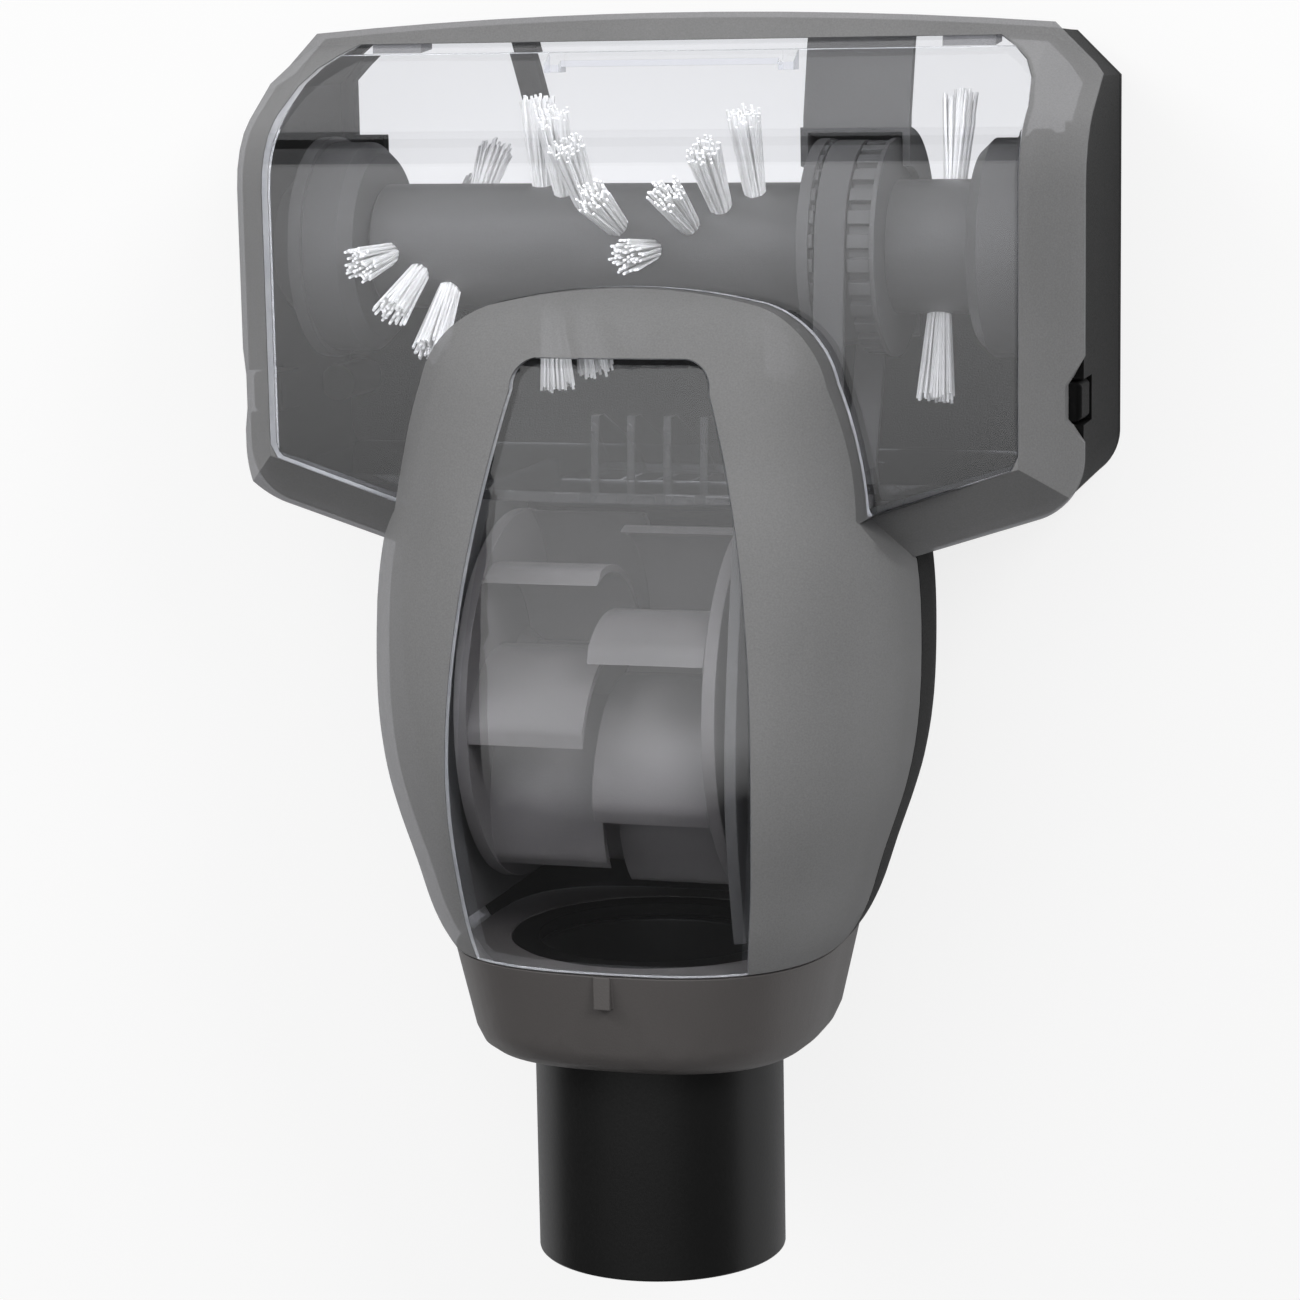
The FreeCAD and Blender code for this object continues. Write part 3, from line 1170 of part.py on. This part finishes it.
def sole_screws():
    """Four screws that hold the sole plate, as one group."""
    solids = []
    radius = size("screw_radius")
    for x, y in screw_places():
        head = Part.makeCylinder(size("screw_head_radius"), size("screw_head"), Vector(x, y, 0.1))
        cross = box_between((x - 1.6, y - 0.35, 0), (x + 1.6, y + 0.35, 0.8))
        cross = cross.fuse(box_between((x - 0.35, y - 1.6, 0), (x + 0.35, y + 1.6, 0.8)))
        shank = Part.makeCylinder(radius, size("screw_length") - 1, Vector(x, y, size("screw_head")))
        solids.append(head.fuse(shank).cut(cross).removeSplitter())
    return solid_feature("sole_screws", Part.makeCompound(solids))


def build():
    cover = cover_shell()
    nodes = [top_frame(cover), head_window(cover), turbine_window(cover), lower_housing(), collar()]
    nodes += neck_pieces()
    nodes += [nozzle_wall(), sole_plate(), belt_guard(), drive_belt(), sole_screws()]
    nodes += [roller_core(), roller_end(), roller_pulley(), roller_shaft()] + tuft_groups()
    nodes += [turbine_shaft(), turbine_pinion()]
    for word, side in (("left", -1), ("right", 1)):
        nodes += [bearing_holder(word + "_bearing_holder", side),
                  bearing_bush(word + "_roller_bush", side),
                  turbine_wheel(word + "_turbine_wheel", side),
                  turbine_carrier(word + "_turbine_carrier", side),
                  turbine_bush(word + "_turbine_bush", side),
                  side_latch(word + "_latch", side)]
    return nodes


def write(nodes):
    document.recompute()
    for thing in document.Objects:
        if "Invalid" in thing.State or "Error" in thing.State:
            raise RuntimeError("%s failed: %s" % (thing.Label, thing.State))
    for node in nodes:
        if node.Shape.isNull() or not node.Shape.isValid():
            raise RuntimeError("%s has no valid shape" % node.Label)
    os.makedirs("parts", exist_ok=True)
    for node in nodes:
        node.Shape.exportStep(os.path.join("parts", node.Label + ".step"))
        box = node.Shape.BoundBox
        print("%-22s %2d solids %9.1f mm3  x %6.1f..%6.1f  y %6.1f..%6.1f  z %5.1f..%5.1f"
              % (node.Label, len(node.Shape.Solids), node.Shape.Volume, box.XMin, box.XMax,
                 box.YMin, box.YMax, box.ZMin, box.ZMax))


write(build())
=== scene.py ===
import bpy
import math
import random
from mathutils import Matrix, Vector


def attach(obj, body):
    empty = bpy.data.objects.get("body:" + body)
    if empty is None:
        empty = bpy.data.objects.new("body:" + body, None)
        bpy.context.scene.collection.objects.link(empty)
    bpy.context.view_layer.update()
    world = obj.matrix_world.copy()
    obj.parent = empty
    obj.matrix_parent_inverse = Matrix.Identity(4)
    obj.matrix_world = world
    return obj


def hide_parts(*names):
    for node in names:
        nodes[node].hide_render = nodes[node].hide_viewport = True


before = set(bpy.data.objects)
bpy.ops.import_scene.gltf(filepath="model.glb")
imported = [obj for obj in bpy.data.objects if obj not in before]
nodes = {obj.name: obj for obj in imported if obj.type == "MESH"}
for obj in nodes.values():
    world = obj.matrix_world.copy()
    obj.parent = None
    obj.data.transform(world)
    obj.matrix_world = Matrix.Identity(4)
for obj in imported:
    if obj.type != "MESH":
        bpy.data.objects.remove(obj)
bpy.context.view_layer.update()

print("frame loaded")


def clearSelection():
    for obj in bpy.context.selected_objects:
        obj.select_set(False)


def makeActive(obj):
    clearSelection()
    obj.select_set(True)
    bpy.context.view_layer.objects.active = obj


# colours and material nodes

def linear(hexColour):
    # sRGB hex to the linear values that shaders use
    parts = [int(hexColour[k:k + 2], 16) / 255 for k in (1, 3, 5)]
    return tuple(v / 12.92 if v <= 0.04045 else ((v + 0.055) / 1.055) ** 2.4 for v in parts) + (1.0,)


def addNode(owner, kind, settings=None, links=None):
    # one node of a material, world or lamp, its values by socket or property name, and what feeds it
    node = owner.node_tree.nodes.new(kind)
    for name, value in (settings or {}).items():
        if name in node.inputs:
            node.inputs[name].default_value = value
        else:
            setattr(node, name, value)
    for name, source in (links or {}).items():
        owner.node_tree.links.new(source, node.inputs[name])
    return node


def blendShaders(material, share, first, second):
    # the share is a number or what feeds it: 0 shows the first shader and 1 the second
    mix = addNode(material, "ShaderNodeMixShader")
    if isinstance(share, float):
        mix.inputs["Fac"].default_value = share
    else:
        material.node_tree.links.new(share, mix.inputs["Fac"])
    material.node_tree.links.new(first, mix.inputs[1])
    material.node_tree.links.new(second, mix.inputs[2])
    return mix.outputs["Shader"]


def newMaterial(name):
    material = bpy.data.materials.new(name)
    material.use_nodes = True
    material.node_tree.nodes.clear()
    return material


plasticGrain = {"grainDetail": 3.0, "flowDetail": 2.0, "fleck": 0.3, "darkEnd": 0.3, "lightEnd": 0.7,
                "bumpDepth": 0.0001}


def mouldedPlastic(name, look):
    # injection-moulded plastic: flecked colour, spark-eroded grain as bump, slight sheen changes
    material = newMaterial(name)
    place = addNode(material, "ShaderNodeTexCoord")
    grain = addNode(material, "ShaderNodeTexNoise",
                    {"Scale": 1 / (look["grainMm"] * 0.001), "Detail": plasticGrain["grainDetail"]},
                    {"Vector": place.outputs["Object"]})
    flow = addNode(material, "ShaderNodeTexNoise",
                   {"Scale": 1 / (look["flowMm"] * 0.001), "Detail": plasticGrain["flowDetail"]},
                   {"Vector": place.outputs["Object"]})
    tone = addNode(material, "ShaderNodeMix", {"Factor": look.get("fleck", plasticGrain["fleck"])},
                   {"A": flow.outputs["Fac"], "B": grain.outputs["Fac"]})
    colour = addNode(material, "ShaderNodeValToRGB", None, {"Fac": tone.outputs["Result"]})
    colour.color_ramp.elements[0].position = plasticGrain["darkEnd"]
    colour.color_ramp.elements[0].color = linear(look["dark"])
    colour.color_ramp.elements[1].position = plasticGrain["lightEnd"]
    colour.color_ramp.elements[1].color = linear(look["light"])
    low, high = look["roughness"]
    rough = addNode(material, "ShaderNodeMapRange", {"To Min": low, "To Max": high},
                    {"Value": grain.outputs["Fac"]})
    bump = addNode(material, "ShaderNodeBump",
                   {"Strength": look["bump"], "Distance": plasticGrain["bumpDepth"]},
                   {"Height": grain.outputs["Fac"]})
    shader = addNode(material, "ShaderNodeBsdfPrincipled", {"IOR": look["ior"], **look.get("extra", {})},
                     {"Base Color": colour.outputs["Color"], "Roughness": rough.outputs["Result"],
                      "Normal": bump.outputs["Normal"]})
    surface = shader.outputs["BSDF"]
    if "seeThrough" in look:
        passing = addNode(material, "ShaderNodeBsdfTransparent", {"Color": linear(look["tint"])})
        surface = blendShaders(material, look["seeThrough"], surface, passing.outputs["BSDF"])
    addNode(material, "ShaderNodeOutputMaterial", None, {"Surface": surface})
    return material


def clearMoulding(name, look):
    # clear plastic wall: reflects at its polished skin, bends light a little and lets lamps through
    material = newMaterial(name)
    wall = addNode(material, "ShaderNodeBsdfPrincipled", {
        "Base Color": linear(look["tint"]), "Roughness": look["roughness"], "IOR": look["bend"],
        "Transmission Weight": 1.0, "Coat Weight": look["skin"], "Coat IOR": 1.585,
        "Coat Roughness": look["roughness"]})
    passing = addNode(material, "ShaderNodeBsdfTransparent", {"Color": (1, 1, 1, 1)})
    path = addNode(material, "ShaderNodeLightPath")
    surface = blendShaders(material, path.outputs["Is Shadow Ray"], wall.outputs["BSDF"],
                           passing.outputs["BSDF"])
    addNode(material, "ShaderNodeOutputMaterial", None, {"Surface": surface})
    return material


# smoke-tinted polycarbonate, moulded in a finely eroded tool: satin, and faintly see-through
smokedFrame = mouldedPlastic("smokedPolycarbonateSatin", {
    "dark": "#9c9c9c", "light": "#b2b2b2", "grainMm": 0.25, "flowMm": 30, "bump": 0.35, "fleck": 0.6,
    "roughness": (0.34, 0.46), "ior": 1.585, "seeThrough": 0.48, "tint": "#cfcfd2"})

# clear polycarbonate from a polished tool: sharp reflections; its cut edges get the painted highlight below
clearPane = clearMoulding("clearPolycarbonatePolished", {"tint": "#f6f7fb", "roughness": 0.01, "bend": 1.1,
                                                         "skin": 1.0})

# cut edges of the clear panes: a painted highlight, pale colour standing in for the glint of light that
# travels inside the sheet and comes out there
paintedEdgeGlint = mouldedPlastic("clearPolycarbonatePaintedEdgeGlint", {
    "dark": "#d6d9e0", "light": "#f4f6fa", "grainMm": 1.2, "flowMm": 6, "bump": 0.1,
    "roughness": (0.15, 0.3), "ior": 1.585, "seeThrough": 0.25, "tint": "#ffffff"})

# the same clear polycarbonate where it is thick and ribbed: bends light fully
clearRib = clearMoulding("clearPolycarbonateRibbed", {"tint": "#f4f5f8", "roughness": 0.02, "bend": 1.5,
                                                      "skin": 0.0})

# black ABS with a fine eroded texture: dull, with a soft edge light
blackBase = mouldedPlastic("blackAbsEroded", {
    "dark": "#080808", "light": "#0d0d0d", "grainMm": 0.3, "flowMm": 25, "bump": 0.4,
    "roughness": (0.42, 0.6), "ior": 1.54, "extra": {"Specular IOR Level": 0.1}})

# charcoal ABS, satin: the collar
charcoalCollar = mouldedPlastic("charcoalAbsSatin", {
    "dark": "#585554", "light": "#5e5b5a", "grainMm": 0.3, "flowMm": 20, "bump": 0.25,
    "roughness": (0.34, 0.46), "ior": 1.54})

# black polypropylene tube, smooth satin from a turned core
tubeBlack = mouldedPlastic("blackPolypropyleneSatin", {
    "dark": "#151515", "light": "#1a1a1a", "grainMm": 0.5, "flowMm": 35, "bump": 0.12,
    "roughness": (0.3, 0.4), "ior": 1.49})

# grey ABS of the inner parts
innerGrey = mouldedPlastic("greyAbsInner", {
    "dark": "#3e3e3e", "light": "#454545", "grainMm": 0.4, "flowMm": 15, "bump": 0.2,
    "roughness": (0.38, 0.5), "ior": 1.54})

# lighter grey ABS of the turbine
turbineGrey = mouldedPlastic("greyAbsTurbine", {
    "dark": "#565454", "light": "#5e5c5c", "grainMm": 0.4, "flowMm": 15, "bump": 0.2,
    "roughness": (0.38, 0.5), "ior": 1.54})

# white nylon 6.6 bristle, drawn: bright and waxy
whiteNylon = mouldedPlastic("whiteNylonDrawn", {
    "dark": "#f4f4f2", "light": "#ffffff", "grainMm": 1.5, "flowMm": 3, "bump": 0.0,
    "roughness": (0.5, 0.6), "ior": 1.5})

# black chloroprene belt, matt
beltRubber = mouldedPlastic("blackRubberBelt", {
    "dark": "#3c3c3c", "light": "#444444", "grainMm": 0.35, "flowMm": 10, "bump": 0.3,
    "roughness": (0.6, 0.75), "ior": 1.52})

# sintered bronze bushes, open-pored
sinteredBronze = mouldedPlastic("bronzeSintered", {
    "dark": "#9a7444", "light": "#b08a55", "grainMm": 0.2, "flowMm": 4, "bump": 0.5,
    "roughness": (0.35, 0.5), "ior": 1.5, "extra": {"Metallic": 1.0}})

# ground steel shafts and zinc-plated screws
groundSteel = mouldedPlastic("steelGround", {
    "dark": "#a4a5a8", "light": "#b9babc", "grainMm": 0.2, "flowMm": 6, "bump": 0.15,
    "roughness": (0.22, 0.34), "ior": 1.5, "extra": {"Metallic": 1.0}})
print("materials made")


# pieces that keep a CAD solid's form, with softened edges

softening = {"mergeGap": 0.000004, "flatAngle": 0.6, "bevelAngle": 32, "steps": 2, "smoothAngle": 35,
             "flatWeight": 100, "cutFaceShare": 0.12}


def softened(name, node, body, material, edge):
    # a merged copy of the solid, its sharp edges rounded as a mould leaves them
    source = nodes[node]
    piece = bpy.data.objects.new(name, source.data.copy())
    bpy.context.scene.collection.objects.link(piece)
    makeActive(piece)
    bpy.ops.object.mode_set(mode="EDIT")
    bpy.ops.mesh.select_all(action="SELECT")
    bpy.ops.mesh.remove_doubles(threshold=softening["mergeGap"])
    bpy.ops.mesh.dissolve_limited(angle_limit=math.radians(softening["flatAngle"]))
    bpy.ops.object.mode_set(mode="OBJECT")
    bevel = piece.modifiers.new("softEdge", "BEVEL")
    bevel.limit_method = "ANGLE"
    bevel.angle_limit = math.radians(softening["bevelAngle"])
    bevel.width = edge["width"] * 0.001
    bevel.segments = edge.get("steps", softening["steps"])
    bpy.ops.object.modifier_apply(modifier=bevel.name)
    bpy.ops.object.shade_smooth_by_angle(angle=math.radians(softening["smoothAngle"]))
    level = piece.modifiers.new("flatFacesStayFlat", "WEIGHTED_NORMAL")
    level.weight = softening["flatWeight"]
    level.keep_sharp = True
    bpy.ops.object.modifier_apply(modifier=level.name)
    piece.data.materials.clear()
    piece.data.materials.append(material)
    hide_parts(node)
    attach(piece, body)
    return piece


softPieces = {
    "topFrame": ("top_frame", "cover", "smoked_frame", smokedFrame, {"width": 0.5, "steps": 3}),
    "headWindow": ("head_window", "cover", "clear_pane", clearPane, {"width": 0.25}),
    "turbineWindow": ("turbine_window", "cover", "clear_pane", clearPane, {"width": 0.25}),
    "baseHousing": ("lower_housing", "housing", "black_base", blackBase, {"width": 0.3}),
    "solePlate": ("sole_plate", "housing", "black_base", blackBase, {"width": 0.3}),
    "neckCollar": ("collar", "housing", "charcoal_collar", charcoalCollar, {"width": 0.5, "steps": 3}),
    "neckTube": ("neck_tube", "neck", "black_tube", tubeBlack, {"width": 0.4, "steps": 3}),
    "neckRing": ("neck_ring", "housing", "black_base", blackBase, {"width": 0.2}),
    "nozzleWall": ("nozzle_wall", "housing", "clear_pane", clearRib, {"width": 0.15}),
    "beltGuard": ("belt_guard", "housing", "black_base", innerGrey, {"width": 0.25}),
    "driveBelt": ("drive_belt", "housing", "belt_rubber", beltRubber, {"width": 0.2}),
    "soleScrews": ("sole_screws", "housing", "steel_shaft", groundSteel, {"width": 0.1}),
    "leftBearingHolder": ("left_bearing_holder", "housing", "grey_inner", innerGrey, {"width": 0.3}),
    "rightBearingHolder": ("right_bearing_holder", "housing", "grey_inner", innerGrey, {"width": 0.3}),
    "leftTurbineCarrier": ("left_turbine_carrier", "housing", "grey_inner", innerGrey, {"width": 0.2}),
    "rightTurbineCarrier": ("right_turbine_carrier", "housing", "grey_inner", innerGrey, {"width": 0.2}),
    "rollerCore": ("roller_core", "roller", "grey_inner", innerGrey, {"width": 0.2}),
    "rollerEnd": ("roller_end", "roller", "grey_inner", innerGrey, {"width": 0.2}),
    "rollerPulley": ("roller_pulley", "roller", "grey_inner", innerGrey, {"width": 0.12}),
    "turbinePinion": ("turbine_pinion", "turbine", "grey_inner", innerGrey, {"width": 0.1}),
    "leftTurbineWheel": ("left_turbine_wheel", "turbine", "turbine_grey", turbineGrey, {"width": 0.2}),
    "rightTurbineWheel": ("right_turbine_wheel", "turbine", "turbine_grey", turbineGrey, {"width": 0.2}),
    "leftCatch": ("left_latch", "left_catch", "black_base", blackBase, {"width": 0.25}),
    "rightCatch": ("right_latch", "right_catch", "black_base", blackBase, {"width": 0.25}),
}
madePieces = {}
for pieceName, (node, body, slotName, material, edge) in softPieces.items():
    madePieces[pieceName] = softened(pieceName, node, body, material, edge)


def planArea(mesh, face):
    # area of a face as seen from straight above
    corners = [mesh.vertices[k].co for k in face.vertices]
    return abs(sum(a.x * b.y - b.x * a.y for a, b in zip(corners, corners[1:] + corners[:1]))) / 2


for pieceName in ("headWindow", "turbineWindow"):
    pane = madePieces[pieceName].data  # faces across the sheet's thickness take the painted edge highlight
    pane.materials.append(paintedEdgeGlint)
    for face in pane.polygons:
        if planArea(pane, face) < face.area * softening["cutFaceShare"]:
            # these cut faces are painted pale as a highlight
            face.material_index = 1

shownAsTheyAre = {"roller_shaft": groundSteel, "turbine_shaft": groundSteel,
                  "left_roller_bush": sinteredBronze, "right_roller_bush": sinteredBronze,
                  "left_turbine_bush": sinteredBronze, "right_turbine_bush": sinteredBronze}
for node, material in shownAsTheyAre.items():
    nodes[node].data.materials.clear()
    nodes[node].data.materials.append(material)
print("moulded pieces softened")


# bristle tufts

bristles = {"count": 46, "thickness": 0.47, "sides": 5, "rootRadius": 1.45, "tipRadius": 2.9,
            "rootDepth": 2.4, "tipReach": 22.9, "lengthSpread": 1.5, "goldenTurn": 2.39996,
            "spreadRange": (0.82, 1.04), "swing": 0.35, "kinds": 4, "firstSeed": 11, "turnBetween": 1.7,
            "smoothAngle": 50, "axisHeight": 23.5, "coreRadius": 9.6, "endRadius": 10.0, "coreEnd": 34,
            "twist": 4.2, "centre": -1.5,
            "places": [-43.5, -39.0, -34.6, -21.0, -16.7, -12.3, -7.0, -1.5, 4.2, 8.8, 13.4],
            "endTufts": [(42.4, 105.0), (41.0, -80.0)]}


def bristleBundle(name, seed, reach):
    # drawn nylon bristles packed in their hole, fanning out towards the tips
    dice = random.Random(seed)
    parts = []
    for k in range(bristles["count"]):
        turn = k * bristles["goldenTurn"]
        share = math.sqrt((k + 0.5) / bristles["count"])
        root = Vector((math.cos(turn), math.sin(turn), 0)) * share * bristles["rootRadius"]
        spread = share * bristles["tipRadius"] * dice.uniform(*bristles["spreadRange"])
        swing = turn + dice.uniform(-bristles["swing"], bristles["swing"])
        tip = Vector((math.cos(swing) * spread, math.sin(swing) * spread,
                      reach - dice.uniform(0, bristles["lengthSpread"])))
        along = tip - root
        turned = along.to_track_quat("Z", "Y").to_euler()
        clearSelection()
        bpy.ops.mesh.primitive_cylinder_add(vertices=bristles["sides"],
                                            radius=bristles["thickness"] / 2 * 0.001,
                                            depth=along.length * 0.001,
                                            location=(root + along / 2) * 0.001, rotation=turned)
        parts.append(bpy.context.active_object)
    clearSelection()
    for part in parts:
        part.select_set(True)
    bpy.context.view_layer.objects.active = parts[0]
    bpy.ops.object.join()
    bundle = bpy.context.active_object
    bpy.ops.object.transform_apply(location=True, rotation=True, scale=True)
    bundle.name = name
    return bundle


bundleReach = bristles["tipReach"] - bristles["coreRadius"] + bristles["rootDepth"]
bundles = [bristleBundle("bristleBundle%d" % k, bristles["firstSeed"] + k, bundleReach)
           for k in range(bristles["kinds"])]


def tuftRow(name, node, places):
    # every tuft of one row, turned into place round the roller axis
    made = []
    for k, (x, angle) in enumerate(places):
        surface = bristles["endRadius"] if x > bristles["coreEnd"] else bristles["coreRadius"]
        start = surface - bristles["rootDepth"]
        shape = bundles[k % len(bundles)].data.copy()
        centre = Vector((x, 0, bristles["axisHeight"])) * 0.001
        turn = Matrix.Rotation(-math.radians(angle), 4, "X")
        shape.transform(Matrix.Translation(centre) @ turn @ Matrix.Translation((0, 0, start * 0.001))
                        @ Matrix.Rotation(k * bristles["turnBetween"], 4, "Z"))
        tuft = bpy.data.objects.new(name + str(k), shape)
        bpy.context.scene.collection.objects.link(tuft)
        made.append(tuft)
    clearSelection()
    for tuft in made:
        tuft.select_set(True)
    bpy.context.view_layer.objects.active = made[0]
    bpy.ops.object.join()
    row = bpy.context.active_object
    row.name = name
    bpy.ops.object.shade_smooth_by_angle(angle=math.radians(bristles["smoothAngle"]))
    row.data.materials.clear()
    row.data.materials.append(whiteNylon)
    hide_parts(node)
    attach(row, "roller")
    return row


frontPlaces = [(x, bristles["twist"] * abs(x - bristles["centre"])) for x in bristles["places"]]
tuftRow("frontTufts", "front_tufts", frontPlaces)
tuftRow("backTufts", "back_tufts", [(x, angle + 180) for x, angle in frontPlaces])
tuftRow("endTufts", "end_tufts", bristles["endTufts"])
for bundle in bundles:
    bpy.data.objects.remove(bundle)
print("tufts made")


# floor, light and camera

paperFloor = {"size": 8.0, "shade": "#e9e9ea", "white": "#ffffff", "glow": 0.82}


def whiteFloorMaterial(name):
    # shows white to the camera and through the panes, and still takes a faint shadow
    material = newMaterial(name)
    path = addNode(material, "ShaderNodeLightPath")
    seen = addNode(material, "ShaderNodeMath", {"operation": "MAXIMUM"})
    material.node_tree.links.new(path.outputs["Is Camera Ray"], seen.inputs[0])
    material.node_tree.links.new(path.outputs["Is Transmission Ray"], seen.inputs[1])
    paint = addNode(material, "ShaderNodeBsdfDiffuse", {"Color": linear(paperFloor["shade"])})
    paper = addNode(material, "ShaderNodeBsdfDiffuse", {"Color": linear(paperFloor["white"])})
    glow = addNode(material, "ShaderNodeEmission", {"Color": (1, 1, 1, 1), "Strength": 1.0})
    shown = blendShaders(material, paperFloor["glow"], paper.outputs["BSDF"], glow.outputs["Emission"])
    surface = blendShaders(material, seen.outputs["Value"], paint.outputs["BSDF"], shown)
    addNode(material, "ShaderNodeOutputMaterial", None, {"Surface": surface})
    return material


studio = {
    "worldStrength": 0.07,
    "overheadSoftbox": {"place": (-0.1, 0.2, 1.05), "aim": (-0.1, 0.2, 0), "size": (1.5, 1.15),
                        "radiance": 1.25, "fade": (0.0, 0.3)},
    "frontSoftbox": {"place": (0, 1.15, 0.85), "aim": (0, 0.1, 0.03), "size": (1.6, 0.9),
                     "radiance": 0.7, "mirrored": False},
    "leftSoftbox": {"place": (-1.1, 0.95, 0.8), "aim": (0, -0.03, 0.03), "size": (0.6, 0.6),
                    "radiance": 8.6, "mirrored": False},
    "rightSoftbox": {"place": (1.0, 0.8, 0.9), "aim": (0, -0.03, 0.03), "size": (0.6, 0.6),
                     "radiance": 8.6, "mirrored": False}}

clearSelection()
bpy.ops.mesh.primitive_plane_add(size=paperFloor["size"], location=(0, 0, 0))
floor = bpy.context.active_object
floor.name = "floor"
floor.data.materials.append(whiteFloorMaterial("paperFloor"))

world = bpy.data.worlds.new("studioWorld")
bpy.context.scene.world = world
world.use_nodes = True
world.node_tree.nodes.clear()
sky = addNode(world, "ShaderNodeBackground", {"Color": (1, 1, 1, 1), "Strength": studio["worldStrength"]})
addNode(world, "ShaderNodeOutputWorld", None, {"Surface": sky.outputs["Background"]})


def softLight(name, spec):
    lamp = bpy.data.lights.new(name, "AREA")
    lamp.shape = "RECTANGLE"
    lamp.size, lamp.size_y = spec["size"]
    lamp.energy = math.pi * spec["size"][0] * spec["size"][1] * spec["radiance"]
    obj = bpy.data.objects.new(name, lamp)
    bpy.context.scene.collection.objects.link(obj)
    obj.location = spec["place"]
    aim = Vector(spec["aim"]) - Vector(spec["place"])
    obj.rotation_euler = aim.to_track_quat("-Z", "Y").to_euler()
    obj.visible_glossy = spec.get("mirrored", True)
    if "fade" in spec:
        # a softbox whose cloth dims towards its rear edge
        lamp.use_nodes = True
        start, end = spec["fade"]
        cloth = addNode(lamp, "ShaderNodeNewGeometry")
        split = addNode(lamp, "ShaderNodeSeparateXYZ", None, {"Vector": cloth.outputs["Parametric"]})
        ramp = addNode(lamp, "ShaderNodeMapRange", {"From Min": start, "From Max": end},
                       {"Value": split.outputs["Y"]})
        lamp.node_tree.links.new(ramp.outputs["Result"], lamp.node_tree.nodes["Emission"].inputs["Strength"])


for lampName in ("overheadSoftbox", "frontSoftbox", "leftSoftbox", "rightSoftbox"):
    softLight(lampName, studio[lampName])

view = {"target": (-0.00207, -0.06043, 0.0355), "distance": 0.55841, "leanX": 16.97, "leanY": 10.31,
        "roll": -1.03, "sensor": 36, "focalPixels": 3669.5, "widthPixels": 1300, "nearest": 0.01}
away = Vector((math.tan(math.radians(view["leanX"])), math.tan(math.radians(view["leanY"])), 1)).normalized()
right = Vector((0, 1, 0)).cross(away).normalized()
up = away.cross(right)
roll = math.radians(view["roll"])
rightRolled = right * math.cos(roll) + up * math.sin(roll)
upRolled = up * math.cos(roll) - right * math.sin(roll)
cameraData = bpy.data.cameras.new("camera")
cameraData.sensor_width = view["sensor"]
cameraData.lens = view["sensor"] * view["focalPixels"] / view["widthPixels"]
cameraData.clip_start = view["nearest"]
camera = bpy.data.objects.new("camera", cameraData)
bpy.context.scene.collection.objects.link(camera)
place = Vector(view["target"]) + away * view["distance"]
camera.matrix_world = Matrix(((rightRolled.x, upRolled.x, away.x, place.x),
                              (rightRolled.y, upRolled.y, away.y, place.y),
                              (rightRolled.z, upRolled.z, away.z, place.z),
                              (0, 0, 0, 1)))
bpy.context.scene.camera = camera
bpy.context.scene.view_settings.view_transform = "Standard"
print("studio set")

bpy.context.view_layer.update()
